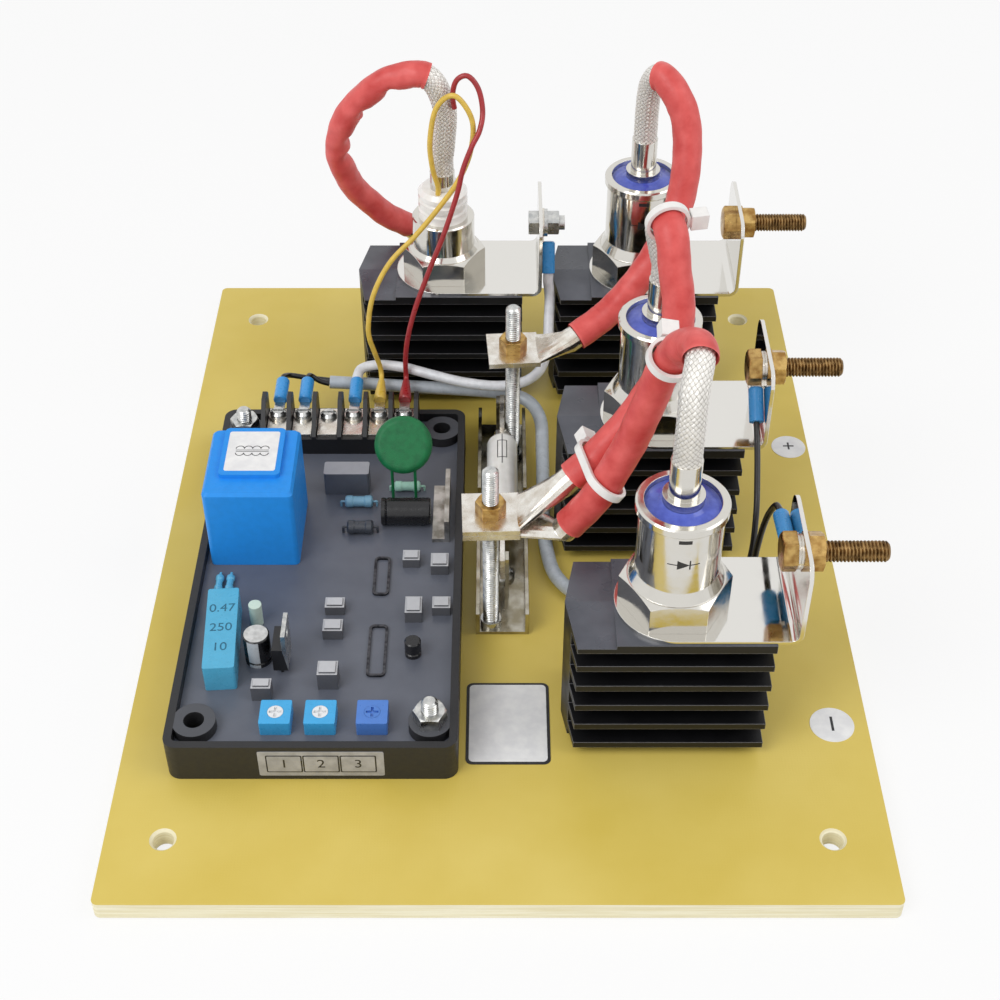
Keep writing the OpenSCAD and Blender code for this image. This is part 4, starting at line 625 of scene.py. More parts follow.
diode_tube_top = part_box("terminal_tubes")[1].z / MM
thyristor_tube_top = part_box("thyristor_insulator")[1].z / MM + thyristor_tube_height
pigtail_routes = {
    "front": tube_rise("diode_front", diode_tube_top) + [
        (49.5, -75.5, 116), (50, -72.5, 125), (51.5, -66, 130), (51, -59, 129), (48, -52, 123),
        (45, -47.5, 113), (42, -45.5, 100), (38, -44.5, 86), (33, -44.8, 73), (27, -45, 61.5), (21, -45, 53)],
    "middle": tube_rise("diode_middle", diode_tube_top) + [
        (48, 7, 115.5), (46.6, 7, 123), (48, 2.5, 128.5), (49.3, -4, 126.4), (50.4, -8.5, 119),
        (51.8, -13, 109.5), (51.4, -17.5, 100.5), (48, -22, 92.5), (43, -26, 85), (35.5, -30, 76),
        (28.5, -33, 69), (22, -35, 63)],
    "rear": tube_rise("diode_rear", diode_tube_top) + [
        (49.3, 89, 116), (49.8, 88, 125), (52, 85, 130), (56, 81, 128), (60, 77, 121), (61.5, 73, 112),
        (61, 68, 102), (58, 63, 91), (52, 58, 79), (44, 53, 69), (35, 47.5, 61.5), (26, 43, 57)],
    "thyristor": tube_rise("thyristor_base", thyristor_tube_top) + [
        (-18.2, 89, 104), (-17.8, 89, 117), (-23, 89, 127.6), (-34, 90, 126.6), (-44, 91.5, 119.5),
        (-51.5, 94.2, 108.5), (-54.6, 97.5, 97), (-53.6, 101, 85.5), (-49.5, 104.5, 75.5),
        (-43.5, 108, 66.5), (-38, 111, 60), (-33, 114, 55)],
}
braid_points = 5
route_steps = 6
pigtails = {name: smooth_path(route, route_steps) for name, route in pigtail_routes.items()}
sleeve_start = braid_points * route_steps
for name, path in pigtails.items():
    print("pigtail", name, round(run_along(path)[-1] / MM), "mm")

# %% [markdown]
# The weave is worked out twice from the same two numbers: strands round the tube, and millimetres
# along it for one full turn. The mesh takes its height from them, and the material takes its colour
# from them: the edges of each strand are painted darker, as painted shade in the gaps where the
# surface dips.

# %% Braids
braid_radius = 3.98 * MM
strand_count = 16
braid_lay = 24.0
strand_rise = 0.3 * MM
strand_dip = 0.35
wires_per_strand = 4
braid_sides = 84
braid_spacing = 0.4 * MM
sleeve_overlap = 2


def braid_radius_at(angle, run, inside):
    """Radius over crossing strands: the strand on top bulges along its length."""
    around = angle / math.tau * strand_count
    wound = run / MM / braid_lay * strand_count
    first = around + wound
    second = around - wound
    on_top = (np.floor(first) + np.floor(second)) % 2 == 0
    across = np.where(on_top, first % 1, second % 1)
    lengthwise = np.where(on_top, second % 1, first % 1)
    crest = strand_dip + (1 - strand_dip) * np.sin(math.pi * lengthwise)
    bulge = crest * (1 - (2 * across - 1) ** 6)
    return braid_radius - strand_rise * (1 - bulge)


def strand_place(finish):
    """Place across the upper strand, in strand widths, from the tube's own coordinates."""
    coords = finish.add("TexCoord")
    parts = finish.add("SeparateXYZ")
    finish.join(coords.outputs["UV"], parts.inputs["Vector"])
    around = finish.calc("MULTIPLY", parts.outputs["X"], strand_count)
    wound = finish.calc("MULTIPLY", parts.outputs["Y"], strand_count / braid_lay)
    first = finish.calc("ADD", around, wound)
    second = finish.calc("SUBTRACT", around, wound)
    floors = finish.calc("ADD", finish.calc("FLOOR", first), finish.calc("FLOOR", second))
    beneath = finish.calc("FLOORED_MODULO", floors, 2.0)
    step_over = finish.calc("MULTIPLY", finish.calc("SUBTRACT", second, first), beneath)
    return finish.calc("ADD", first, step_over)


braid_wire = Finish("tinned_braid_wire", paint(228, 225, 218), 0.45, 0.85)
across = strand_place(braid_wire)
from_edge = braid_wire.calc("PINGPONG", across, 0.5)
# Painted shade: the strand edges are painted darker, for the shade in the gaps between strands.
braid_gap_shade = braid_wire.ramp(from_edge, paint(158, 152, 142), paint(236, 233, 228), 0.02, 0.17)
braid_wire.join(braid_gap_shade, braid_wire.shader.inputs["Base Color"])
wire_wave = braid_wire.calc("SINE", braid_wire.calc("MULTIPLY", across, math.tau * wires_per_strand))
braid_wire.bump(braid_wire.calc("MULTIPLY", wire_wave, 0.5), 0.06 * MM)
for name, path in pigtails.items():
    bare_run = even_path(path[:sleeve_start + sleeve_overlap], braid_spacing)
    piece = sweep("braid_" + name, bare_run, braid_sides, braid_radius_at, braid_wire, "braid")
    if name == "front":
        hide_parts("braids")
print("braids of", strand_count, "strands each way")

# %% [markdown]
# A sleeve is the same sweep with another radius. Slow waves make it lumpy, and a row of sharper waves
# cuts in only where the path bends towards that side, as a soft tube buckles. The thyristor's sleeve
# is folded hard in four places, so it gets four deeper kinks. The cut ends of each sleeve show a wall.

# %% Sleeves
crease_pitch = 5.2 * MM
crease_depth = 0.7 * MM
kink_depth = 2.3 * MM
kink_width = 2.6 * MM
sleeve_wall = 0.8 * MM
rim_depth = 2.5 * MM
sleeve_ease = 0.12 * MM
sleeve_sides = 40
sleeve_spacing = 0.55 * MM


def sleeve_radius_at(outer, seed, kinks):
    """Radius of a sleeve: slow lumps, short creases inside each bend, and deep kinks at given runs."""
    def radius_at(angle, run, inside):
        lumps = (0.16 * np.sin(run / MM * 0.34 + seed) * np.cos(angle + seed)
                 + 0.1 * np.sin(run / MM * 0.21 + 3 * angle + 2 * seed)
                 + 0.05 * np.sin(run / MM * 0.9 - 2 * angle + seed)) * MM
        wander = 2.4 * np.sin(run / MM * 0.23 + seed) + 0.9 * np.sin(2 * angle + seed)
        fold = (0.5 + 0.5 * np.cos(math.tau * run / crease_pitch + wander)) ** 3
        tight = np.clip(inside * outer - 0.06, 0, 0.6)
        facing = np.clip(inside / np.maximum(np.abs(inside).max(axis=1, keepdims=True), 1e-9), 0, 1)
        pinch = sum(np.exp(-((run - spot * MM) / kink_width) ** 2) for spot in kinks)
        creases = crease_depth * tight * fold
        return outer + lumps - creases - kink_depth * pinch * facing ** 1.5 - sleeve_ease
    return radius_at


def add_rim(piece, sides, wall):
    """Turns the closed ends of a tube into cut ends with a visible wall."""
    mesh = bmesh.new()
    mesh.from_mesh(piece.data)
    ends = [face for face in mesh.faces if len(face.verts) == sides]
    bmesh.ops.inset_individual(mesh, faces=ends, thickness=wall, use_even_offset=True)
    for face in ends:
        push = -face.normal * rim_depth
        for vertex in face.verts:
            vertex.co += push
    mesh.to_mesh(piece.data)
    mesh.free()


red_sleeve = Finish("red_woven_sleeve", paint(212, 76, 72), 0.5)
# Painted shade: the sleeve is painted darker in the hollows of its creases, and paler where it folds
# outwards.
red_sleeve.ridged(paint(196, 56, 53), paint(228, 100, 96), 160, 4)
red_sleeve.gloss(0.36, 0.54, 300)
red_sleeve.grain(1500, 0.06 * MM)
sleeve_looks = {
    "front": (4.9, []),
    "middle": (4.9, []),
    "rear": (4.9, []),
    "thyristor": (4.5, [14, 29, 44, 53]),
}
for seed, (name, (radius, kinks)) in enumerate(sleeve_looks.items()):
    covered_run = even_path(pigtails[name][sleeve_start:], sleeve_spacing)
    radius_at = sleeve_radius_at(radius * MM, 1.7 * seed + 0.4, kinks)
    piece = sweep("woven_sleeve_" + name, covered_run, sleeve_sides, radius_at, red_sleeve, "sleeve_red")
    add_rim(piece, sleeve_sides, sleeve_wall)
    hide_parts("sleeve_" + name)
print("sleeves", ", ".join(sleeve_looks))

# %% [markdown]
# ## The thin leads
# Two gate leads, one white lead, a grey sleeve and the two sensing leads inside it join the
# devices to the terminal block. They are held at both ends, so each route is a list of points from
# one end to the other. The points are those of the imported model, so the finer tubes lie where its
# solids are. A smooth tube is enough: the finish is a glossy extruded plastic.

# %% Lead routes
way_count = 6
white_way = 3
yellow_way = 4
red_way = 5
way_pitch = 8.7
way_middle = -54.2
way_mouth_y = 59.2
way_mouth_z = 25.4
flange_bolt_z = 72
ring_reach = 17.5
flange_axis_right = 79.9
flange_axis_left = 17.6
rows = [-76.25, 6.5, 89.25]
front_ring_turn = -98
middle_ring_turn = 128
thyristor_ring_turn = 152
straight_steps = (3, 1.5, 0)


def way_mouth(k):
    """Where a lead leaves the ring terminal in one way of the terminal block."""
    return (way_middle + (k - (way_count - 1) / 2) * way_pitch, way_mouth_y, way_mouth_z)


def ring_line(x, y, turn, distances):
    """Points on the axis of a flange ring terminal, at distances from its stud."""
    turn = math.radians(turn)
    return [(x, y - d * math.sin(turn), flange_bolt_z + d * math.cos(turn)) for d in distances]


def into_way(k):
    """Points that lead straight into a way."""
    x, y, z = way_mouth(k)
    return [(x, y + step, z) for step in straight_steps]


into_ring = [ring_reach + step for step in straight_steps]
lead_routes = {
    "yellow": [
        (-20.4, 83.7, 86.55), (-20.4, 83.7, 90), (-22, 82.5, 98), (-22.5, 82.5, 108), (-20, 82.5, 120),
        (-14, 81, 125), (-8.5, 80, 117), (-9, 79.4, 106), (-13, 77.7, 96), (-19.5, 75.5, 87), (-28, 73, 77),
        (-37, 70, 68), (-43, 66, 57), (-45, 62.5, 45), (-43.2, 62, 36), (-41.8, 62.8, 30),
        (-41.3, 62, 26.6), way_mouth(yellow_way)],
    "red": [
        (-14.3, 85.6, 118), (-14.8, 85.6, 123), (-13.4, 85.8, 128), (-9.8, 85.6, 129.6), (-6.4, 84.6, 125.6),
        (-5, 82, 119), (-6, 78.2, 114), (-8.6, 75.6, 109.5), (-11.6, 73.6, 102), (-13.6, 72.4, 93.5),
        (-18.2, 70.2, 79.5), (-23.2, 68, 67), (-28.4, 65.4, 53), (-31.4, 63, 42), (-32.5, 61.8, 33),
        (-32.5, 61.2, 26.6), way_mouth(red_way)],
    "white": ring_line(flange_axis_left, rows[2], thyristor_ring_turn, into_ring[::-1]) + [
        (18.2, 77, 48.5), (17.9, 72.5, 42), (17.4, 66.5, 36), (15, 60.5, 30), (9, 57, 27), (0, 56, 26),
        (-12, 58, 26), (-24, 62, 26.5), (-34, 65.5, 27), (-43, 66.8, 27),
        (-48.5, 65.6, 26.2)] + into_way(white_way),
    "harness": [
        (-60, 64, 21.5), (-45, 64, 20.5), (-28, 63, 20), (-10, 62, 19.5), (3, 60.5, 19), (11, 57, 18),
        (15, 49, 16), (15.4, 36, 13), (15.4, 22, 10.5), (15.2, 6, 9), (16, -9, 8.6), (19, -22, 8.6),
        (27, -31, 8.6), (40, -35, 8.6), (56, -36, 8.6)],
    "sensing_1": [(-60.1, 65, 21.5), (-68, 65.8, 22), (-74, 65.4, 23.4)] + into_way(0),
    "sensing_2": [(-60.1, 63, 21.5), (-63.5, 63.4, 22.4), (-66.6, 64.2, 24.2)] + into_way(1),
    "sensing_front": [
        (56.3, -37, 8.6), (66, -41, 9), (73, -46, 14), (76, -47.5, 28), (77, -47.5, 46), (78.3, -48, 58),
        (79.6, -51.5, 66.5)] + ring_line(flange_axis_right, rows[0], front_ring_turn, into_ring),
    "sensing_middle": [
        (56.1, -35, 8.6), (68, -35, 9), (75, -35.5, 15), (78, -35, 30), (79, -30, 43), (79.6, -20.5, 51.5),
        (79.9, -13.5, 56.4)] + ring_line(flange_axis_right, rows[1], middle_ring_turn, into_ring),
}
print("routes of", len(lead_routes), "leads")

# %% [markdown]
# Insulation is pressed out round the wire while it is soft, which leaves it glossy and nearly even.
# Each lead is swept with one plain radius. Its length is printed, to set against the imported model.

# %% Leads
lead_sides = 16
lead_steps = 8
lead_spacing = 0.9 * MM


def lead_plastic(name, colour):
    """Extruded insulation: glossy and slightly cloudy."""
    rough = 0.3
    finish = Finish(name, colour, rough)
    darker = tuple(part * 0.85 for part in colour[:3]) + (1.0,)
    finish.mottle(darker, colour, 350)
    finish.gloss(rough - 0.05, rough + 0.1, 500)
    return finish.grain(1200, 0.02 * MM)


def plain_radius(radius):
    """The same radius all round and all along."""
    def radius_at(angle, run, inside):
        return np.full(inside.shape, radius)
    return radius_at


lead_looks = {
    "yellow": (1.8, lead_plastic("yellow_lead", paint(230, 194, 82)), "lead_yellow"),
    "red": (1.8, lead_plastic("red_lead", paint(170, 46, 50)), "lead_red"),
    "white": (3.6, lead_plastic("white_lead", paint(236, 238, 242)), "lead_white"),
    "harness": (4.6, lead_plastic("grey_harness", paint(192, 200, 208)), "lead_grey"),
    "sensing": (1.9, lead_plastic("black_lead", paint(22, 22, 24)), "lead_black"),
}
replaced_by = {"yellow": "gate_lead_yellow", "red": "gate_lead_red", "white": "white_lead",
               "harness": "harness_sleeve", "sensing_1": "black_leads"}
for name, route in lead_routes.items():
    diameter, finish, slot = lead_looks[name.split("_")[0]]
    path = even_path(smooth_path(route, lead_steps), lead_spacing)
    piece = sweep("lead_" + name, path, lead_sides, plain_radius(diameter / 2 * MM), finish, slot)
    if name in replaced_by:
        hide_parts(replaced_by[name])
    print("lead", name, round(run_along(path)[-1] / MM), "mm")

# %% [markdown]
# ## Turned and threaded pieces
# Bolts, studs and boots are round, or nearly round, about an axis. One grid of rings makes them
# all: the radius is a function of the angle and of the height. A thread is a radius that rises and
# falls once per pitch and slips one pitch per turn. A hexagon head is the smaller of a hexagon and
# a cone, which gives the curved chamfer lines of a real head.

# %% Turned pieces
tip_bevel = 0.8
chamfer_start = 0.96
chamfer_slope = 1.9


def turned(levels, sides, radius_at, place):
    """Vertices and faces of a grid of rings about Z, moved to a place."""
    angle = np.arange(sides) / sides * math.tau
    vertices = []
    for level in levels:
        for a, r in zip(angle, np.broadcast_to(radius_at(angle, level), angle.shape)):
            vertices.append(place @ (Vector((r * math.cos(a), r * math.sin(a), level)) * MM))
    return vertices, ring_faces(len(levels), sides)


def gathered(name, grids, finish, slot):
    """One piece from several grids."""
    vertices = []
    faces = []
    for grid_vertices, grid_faces in grids:
        start = len(vertices)
        vertices.extend(grid_vertices)
        faces.extend(tuple(start + corner for corner in face) for face in grid_faces)
    return new_piece(name, vertices, faces, finish, slot)


def thread(outer, depth, pitch, start, end):
    """Radius of a threaded rod from start to end, with a bevelled tip."""
    def radius_at(angle, level):
        phase = (level / pitch - angle / math.tau) % 1
        ridge = np.clip(1.5 - 3 * np.abs(phase - 0.5), 0, 1)
        return np.minimum(outer - depth * (1 - ridge), outer - tip_bevel + (end - level))
    levels = np.arange(start, end, pitch / 6).tolist() + [end]
    return levels, radius_at


def hexagon_head(flats, height):
    """Radius of a hexagon head whose chamfer is at its bottom."""
    def radius_at(angle, level):
        wedge = (angle + math.pi / 6) % (math.pi / 3) - math.pi / 6
        return np.minimum(flats / 2 / np.cos(wedge), flats / 2 * chamfer_start + level * chamfer_slope)
    levels = [height * share for share in (0, 0.05, 0.1, 0.18, 0.26, 0.34, 0.42, 1)]
    return levels, radius_at


# %% [markdown]
# The terminal bolts point out of the busbars' flanges, towards +X. Their heads keep the bright brass,
# and their threads take the darker one, because tarnish gathers in the grooves.

# %% Terminal bolts
bolt_head_x = [81.5, 81.5, 82.3]
bolt_end_x = 106.95
bolt_head_height = 4.2
bolt_flats = 10
bolt_radius = 3.0
bolt_pitch = 1.0
bolt_groove = 0.5
bolt_head_sides = 72
bolt_sides = 32
heads = []
shanks = []
for y, head_x in zip(rows, bolt_head_x):
    place = Matrix.Translation(Vector((head_x, y, flange_bolt_z)) * MM) @ Matrix.Rotation(math.pi / 2, 4, "Y")
    head_place = place @ Matrix.Translation((0, 0, -bolt_head_height * MM))
    levels, radius_at = hexagon_head(bolt_flats, bolt_head_height)
    heads.append(turned(levels, bolt_head_sides, radius_at, head_place))
    levels, radius_at = thread(bolt_radius, bolt_groove, bolt_pitch, 0, bolt_end_x - head_x)
    shanks.append(turned(levels, bolt_sides, radius_at, place))
head_piece = gathered("terminal_bolt_heads", heads, brass, "brass")
shank_piece = gathered("terminal_bolt_threads", shanks, dark_brass, "brass")
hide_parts("terminal_bolts")
print("terminal bolts", len(head_piece.data.vertices) + len(shank_piece.data.vertices), "vertices")

# %% [markdown]
# The two studs of the module and the three posts that carry the lugs come up through the board from
# countersunk heads on its underside. All five are one piece: the same thread with another height.

# %% Posts and module studs
stud_tops = {(-19.5, -92): 28.4, (-87.5, 40): 28.4, (-2.2, -41): 71, (5, 40): 71, (-22, 124): 50}
stud_radius = 2.5
stud_pitch = 0.8
stud_groove = 0.4
sunk_head_radius = 4.8
sunk_head_height = 2.3
thread_from = 6
sunk_head_sides = 32
stud_sides = 24


def sunk_head_radius_at(angle, level):
    """A cone down to the stud's own radius."""
    return max(stud_radius, sunk_head_radius - level)


grids = []
for (x, y), top in stud_tops.items():
    place = Matrix.Translation(Vector((x, y, 0)) * MM)
    head_levels = [0, sunk_head_height, thread_from]
    grids.append(turned(head_levels, sunk_head_sides, sunk_head_radius_at, place))
    levels, radius_at = thread(stud_radius, stud_groove, stud_pitch, thread_from, top)
    grids.append(turned(levels, stud_sides, radius_at, place))
stud_piece = gathered("threaded_posts", grids, zinc, "zinc_steel")
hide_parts("threaded_studs")
print("threaded posts", len(stud_piece.data.vertices), "vertices")

# %% [markdown]
# ## Boots of the gate leads
# The gate leads end in soft tapered boots over their ring terminals. They belong to the leads in
# the model, so they are remade with them: a turned shape that is wide at the ring and slender
# where the lead leaves it.

# %% Gate boots
boot_start_y = 48.2
boot_length = 11
boot_radius = 2.3
boot_taper = 1.1
lip_depth = 0.5
lip_length = 0.6
boot_sides = 28


def boot_radius_at(angle, level):
    """Wide at the ring, with a rounded lip, tapering to the lead."""
    lip = lip_depth * max(0, 1 - level / lip_length)
    return boot_radius - boot_taper * (level / boot_length) ** 1.3 - lip


boot_levels = [0, 0.2, 0.4, lip_length] + [boot_length * k / 8 for k in range(1, 9)]
for name, way in (("yellow", yellow_way), ("red", red_way)):
    x, y, z = way_mouth(way)
    place = Matrix.Translation(Vector((x, boot_start_y, z)) * MM) @ Matrix.Rotation(-math.pi / 2, 4, "X")
    diameter, finish, slot = lead_looks[name]
    new_piece("boot_" + name, *turned(boot_levels, boot_sides, boot_radius_at, place), finish, slot)
    print("boot on way", way)
dress(moulding("blue_ring_insulation", paint(58, 154, 224), 0.3), "ring_terminal_sleeves")
dress(moulding("white_nylon", paint(240, 238, 235), 0.36), "cable_ties")

# %% [markdown]
# ## Stickers and plates
# Thin printed pieces lie on the board, the tray and the transformer. They carry only plain marks.
# Each is a flat outline with rounded corners, raised by a fraction of a millimetre, so that its
# edge catches a line of light as a real sticker does.

# %% Sticker helper
sticker_paper = Finish("white_sticker", paint(236, 236, 236), 0.5)
sticker_paper.mottle(paint(228, 228, 229), paint(241, 241, 240), 260).grain(1800, 0.02 * MM)
print_ink = Finish("black_print", paint(24, 24, 26), 0.45)
print_ink.mottle(paint(20, 20, 22), paint(40, 40, 44), 900)
grey_strip = Finish("grey_strip", paint(168, 168, 172), 0.4)
grey_strip.mottle(paint(156, 156, 160), paint(178, 178, 182), 300).grain(1600, 0.02 * MM)


def rounded_outline(width, length, corner, steps=6):
    """Corners of a rounded rectangle round the origin."""
    points = []
    for k, (sx, sy) in enumerate(((1, 1), (-1, 1), (-1, -1), (1, -1))):
        for step in range(steps + 1):
            a = math.pi / 2 * (k + step / steps)
            points.append((sx * (width / 2 - corner) + corner * math.cos(a),
                           sy * (length / 2 - corner) + corner * math.sin(a)))
    return points


lip_share = 0.3


def flat_piece(name, outline, thickness, place, finish, slot):
    """A thin plate with the given outline, its back on the place's XY plane."""
    lip = lip_share * thickness
    vertices = []
    for height, inset in ((0, 0), (thickness - lip, 0), (thickness, lip)):
        for x, y in outline:
            reach = math.hypot(x, y)
            vertices.append(place @ (Vector((x * (1 - inset / reach), y * (1 - inset / reach), height)) * MM))
    new_piece(name, vertices, ring_faces(3, len(outline)), finish, slot)


def mark(name, text, size, place, ink=print_ink):
    """A plain printed digit or sign."""
    curve = bpy.data.curves.new(name, "FONT")
    curve.body = text
    curve.size = size * MM
    curve.align_x = "CENTER"
    curve.align_y = "CENTER"
    curve.extrude = 0.01 * MM
    curve.materials.append(ink.material)
    piece = bpy.data.objects.new(name, curve)
    piece.matrix_world = place
    scene.collection.objects.link(piece)
    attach(piece, BODY)


column_width = 0.4


def printed(name, quads, place, bend=None):
    """Printed quads, flat or bent round a radius. Corners are in millimetres across and along."""
    vertices = []
    faces = []
    for low_left, low_right, high_right, high_left in quads:
        columns = int(abs(low_right[0] - low_left[0]) / column_width) + 1
        start = len(vertices)
        for k in range(columns + 1):
            for left, right in ((low_left, low_right), (high_left, high_right)):
                x = left[0] + (right[0] - left[0]) * k / columns
                y = left[1] + (right[1] - left[1]) * k / columns
                spot = (bend * math.sin(x / bend), -bend * math.cos(x / bend), y) if bend else (x, y, 0)
                vertices.append(place @ (Vector(spot) * MM))
        for first in range(start, start + 2 * columns, 2):
            faces.append((first, first + 2, first + 3, first + 1))
    new_piece(name, vertices, faces, print_ink, "lead_black")


def bar(left, right, low, high):
    """The quad of an upright rectangle."""
    return (left, low), (right, low), (right, high), (left, high)


def arc(x, y, radius, width, start, end, steps=10):
    """Quads of a curved line round a centre, between two angles in degrees."""
    ring = []
    for k in range(steps + 1):
        a = math.radians(start + (end - start) * k / steps)
        ring.append([(x + r * math.cos(a), y + r * math.sin(a)) for r in (radius + width, radius)])
    return [(ring[k][0], ring[k + 1][0], ring[k + 1][1], ring[k][1]) for k in range(steps)]


def flat_at(x, y, z, turn=0):
    """A place that lies level, turned by degrees about Z."""
    return Matrix.Translation(Vector((x, y, z)) * MM) @ Matrix.Rotation(math.radians(turn), 4, "Z")


# %% Stickers on the board
board_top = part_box("base_board")[1].z / MM
sticker_thickness = 0.18
mark_height = 0.19
mark_size = 8
circle = [(math.cos(a), math.sin(a)) for a in np.arange(48) / 48 * math.tau]
for name, x, y, radius, text in (("front", 99.4, -82, 6.6, "1"), ("middle", 103.2, 46.3, 6, "+")):
    outline = [(radius * px, radius * py) for px, py in circle]
    place = flat_at(x, y, board_top)
    flat_piece("sticker_" + name, outline, sticker_thickness, place, sticker_paper, "nylon")
    mark("sticker_mark_" + name, text, mark_size, flat_at(x, y, board_top + mark_height))
    print("sticker", name, "of radius", radius, "mm")

plate_centre = (2.95, -81.25)
plate_width = 24.9
plate_length = 31.5
plate_border = 1.8
border_thickness = 0.2
label_thickness = 0.12
flat_piece("bare_plate_border", rounded_outline(plate_width, plate_length, 2), border_thickness,
           flat_at(*plate_centre, board_top), print_ink, "lead_black")
inner_outline = rounded_outline(plate_width - plate_border, plate_length - plate_border, 1.4)
flat_piece("bare_plate", inner_outline, label_thickness,
           flat_at(*plate_centre, board_top + border_thickness), sticker_paper, "nylon")

# %% [markdown]
# The transformer has a white label with the sign for two windings on a core: two rows of half circles
# with two lines between. The film capacitor carries rows of digits, printed straight on its case.

# %% Labels on the transformer and the film capacitor
label_width = 16
label_length = 19
label_shift = 3
pad_low, pad_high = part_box("transformer")
pad_top = pad_high.z / MM
label_centre = ((pad_low.x + pad_high.x) / 2 / MM, (pad_low.y + pad_high.y) / 2 / MM + label_shift)
flat_piece("transformer_label", rounded_outline(label_width, label_length, 0.8), label_thickness,
           flat_at(*label_centre, pad_top), sticker_paper, "nylon")

coil_radius = 1.3
coil_line = 0.3
coil_count = 4
coil_rise = 1
core_rise = 0.35
core_line = 0.24
symbol_height = 0.14
symbol = []
for k in range(coil_count):
    x = (k - (coil_count - 1) / 2) * 2 * coil_radius
    symbol += arc(x, coil_rise, coil_radius - coil_line / 2, coil_line, 0, 180)
    symbol += arc(x, -coil_rise, coil_radius - coil_line / 2, coil_line, 180, 360)
core_reach = coil_count * coil_radius
for y in (-core_rise, core_rise):
    symbol.append(bar(-core_reach, core_reach, y - core_line / 2, y + core_line / 2))
printed("winding_symbol", symbol, flat_at(*label_centre, pad_top + symbol_height))

print_gap = 0.03
film_turn = 4
film_row = 8
film_digit_size = 4.6
film_low, film_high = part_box("film_capacitor_blue")
film_centre = (film_low + film_high) / 2 / MM
film_ink = Finish("teal_print", paint(26, 96, 124), 0.4)
film_ink.mottle(paint(22, 86, 112), paint(34, 108, 136), 900)
film_top = flat_at(film_centre.x, film_centre.y, film_high.z / MM + print_gap, film_turn)
for k, digits in enumerate(("10", "250", "0.47")):
    row = film_top @ Matrix.Translation((0, (k - 1) * film_row * MM, 0))
    mark("film_digits_%d" % k, digits, film_digit_size, row, film_ink)
print("winding symbol of", len(symbol), "quads")

# %% [markdown]
# Round bodies carry print as well. The symbol is drawn flat, as a few quads, and each column of
# corners is then turned about the axis of the body, just outside its surface. Only plain circuit
# signs are used: a diode and a short bar on the cans, and a fuse on the fuse.

# %% Signs on the cans and the fuse
can_radius = 11.8
can_sign_z = 78
diode_sign = [bar(-4.4, -1.7, -0.15, 0.15), bar(1.6, 2, -1.6, 1.6), bar(2, 4.6, -0.15, 0.15),
              ((-1.7, -1.6), (1.6, -0.05), (1.6, 0.05), (-1.7, 1.6)), bar(-1.8, 1.8, 7.6, 8.8)]
for row, y in zip(("front", "middle", "rear"), rows):
    can_low, can_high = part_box("diode_" + row)
    x = (can_low.x + can_high.x) / 2 / MM
    printed("diode_sign_" + row, diode_sign, flat_at(x, y, can_sign_z), can_radius + print_gap)

fuse_low, fuse_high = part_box("fuse_link")
fuse_centre = (fuse_low + fuse_high) / 2
fuse_radius = (fuse_high.x - fuse_low.x) / 2 / MM
fuse_sign = [bar(-1.7, -1.4, 7, 16), bar(1.4, 1.7, 7, 16), bar(-1.4, 1.4, 7, 7.3), bar(-1.4, 1.4, 15.7, 16),
             bar(-0.15, 0.15, 4, 19)]
fuse_place = Matrix.Translation(fuse_centre) @ Matrix.Rotation(-math.pi / 2, 4, "X")
printed("fuse_sign", fuse_sign, fuse_place, fuse_radius + print_gap)
print("fuse radius", round(fuse_radius, 2), "mm")

# %% [markdown]
# The strip on the front of the tray has three numbered fields. Each field is two thin plates, a dark
# one and a smaller grey one on it, so that the dark one is left as a border.

# %% Strip on the tray
strip_x = -50.5
strip_width = 36
strip_height = 10.5
strip_thickness = 0.15
field_count = 3
field_width = 10.6
field_height = 7.4
field_gap = 0.2
field_border = 0.4
field_thickness = 0.04
digit_size = 5
digit_height = 0.05
tray_low, tray_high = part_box("module_tray")
strip_centre = Vector((strip_x * MM, tray_low.y, (tray_low.z + tray_high.z) / 2))
upright = Matrix.Translation(strip_centre) @ Matrix.Rotation(math.pi / 2, 4, "X")
strip_outline = rounded_outline(strip_width, strip_height, 0.6)
dark_outline = rounded_outline(field_width - field_gap, field_height, 0.5)
grey_width = field_width - field_gap - 2 * field_border
grey_outline = rounded_outline(grey_width, field_height - 2 * field_border, 0.3)
flat_piece("tray_strip", strip_outline, strip_thickness, upright, grey_strip, "lead_grey")
for k in range(field_count):
    field = upright @ Matrix.Translation(Vector(((k - 1) * field_width, 0, strip_thickness)) * MM)
    flat_piece("strip_border_%d" % k, dark_outline, field_thickness, field, print_ink, "lead_black")
    front = field @ Matrix.Translation((0, 0, field_thickness * MM))
    flat_piece("strip_field_%d" % k, grey_outline, field_thickness, front, grey_strip, "lead_grey")
    mark("strip_digit_%d" % k, str(k + 1), digit_size, front @ Matrix.Translation((0, 0, digit_height * MM)))
print("strip of", field_count, "fields")

# %% [markdown]
# ## Floor and light
# The photograph is lit softly from all round, on white. The world is white to the camera and to
# mirrors, and a softer grey to everything else, so colours come out about as they are written.
# A large lamp from the left gives the shapes a side, and the floor keeps a faint shadow.

# %% Floor


def plain_view(tree):
    """A socket that is 1 for what the camera, a mirror or glass sees, and 0 for other light."""
    rays = tree.nodes.new("ShaderNodeLightPath")
    seen = rays.outputs["Is Camera Ray"]
    for kind in ("Is Glossy Ray", "Is Transmission Ray"):
        either = tree.nodes.new("ShaderNodeMath")
        either.operation = "MAXIMUM"
        tree.links.new(seen, either.inputs[0])
        tree.links.new(rays.outputs[kind], either.inputs[1])
        seen = either.outputs["Value"]
    return seen


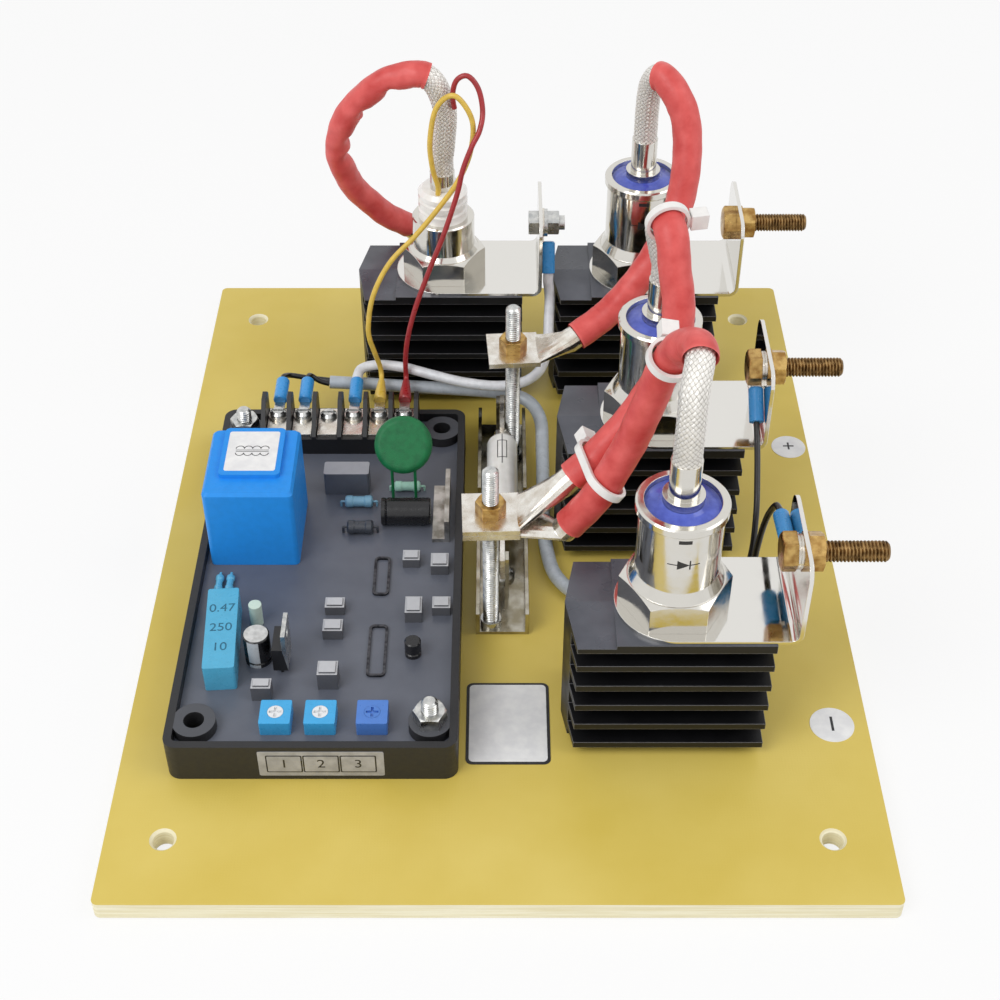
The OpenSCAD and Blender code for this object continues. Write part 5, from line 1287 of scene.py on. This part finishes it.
glow_share = 0.78
floor_finish = Finish("white_floor", (0.86, 0.86, 0.86, 1.0), 0.6)
glow = floor_finish.add("Emission", Color=(1.0, 1.0, 1.0, 1.0), Strength=1.0)
blend = floor_finish.add("MixShader")
share = floor_finish.calc("MULTIPLY", plain_view(floor_finish.tree), glow_share)
floor_finish.join(share, blend.inputs["Fac"])
floor_finish.join(floor_finish.shader.outputs["BSDF"], blend.inputs[1])
floor_finish.join(glow.outputs["Emission"], blend.inputs[2])
output = floor_finish.tree.nodes["Material Output"]
floor_finish.join(blend.outputs["Shader"], output.inputs["Surface"])

floor_reach = 3.0
floor_drop = 0.2 * MM
floor_mesh = bpy.data.meshes.new("floor")
floor_mesh.from_pydata([(-floor_reach, -floor_reach, 0), (floor_reach, -floor_reach, 0),
                        (floor_reach, floor_reach, 0), (-floor_reach, floor_reach, 0)], [], [(0, 1, 2, 3)])
floor_mesh.materials.append(floor_finish.material)
floor = bpy.data.objects.new("floor", floor_mesh)
floor.location.z = -floor_drop
scene.collection.objects.link(floor)
print("floor", round(2 * floor_reach, 1), "m across")

# %% [markdown]
# The world uses the same switch as the floor: full white where the camera or a mirror looks at it,
# and a softer level as light on the object. Two large lamps add a little direction.

# %% World and lamps
sky_light = 0.62
world = bpy.data.worlds.new("studio")
world.use_nodes = True
scene.world = world
sky = world.node_tree
background = sky.nodes["Background"]
background.inputs["Color"].default_value = (1.0, 1.0, 1.0, 1.0)
strength = sky.nodes.new("ShaderNodeMapRange")
strength.inputs["To Min"].default_value = sky_light
strength.inputs["To Max"].default_value = 1.0
sky.links.new(plain_view(sky), strength.inputs["Value"])
sky.links.new(strength.outputs["Result"], background.inputs["Strength"])
lamp_aim = Vector((0, 0, 0.05))


def soft_lamp(name, place, size, power):
    """A square lamp that faces the middle of the board."""
    lamp = bpy.data.lights.new(name, "AREA")
    lamp.size = size
    lamp.energy = power
    holder = bpy.data.objects.new(name, lamp)
    holder.location = place
    holder.rotation_euler = (lamp_aim - Vector(place)).to_track_quat("-Z", "Y").to_euler()
    scene.collection.objects.link(holder)
    print(name, power, "W")


soft_lamp("key_lamp", place=(-0.75, -0.7, 1.1), size=0.8, power=8.6)
soft_lamp("fill_lamp", place=(0.9, -0.2, 0.9), size=0.8, power=3.5)
scene.view_settings.view_transform = "Standard"
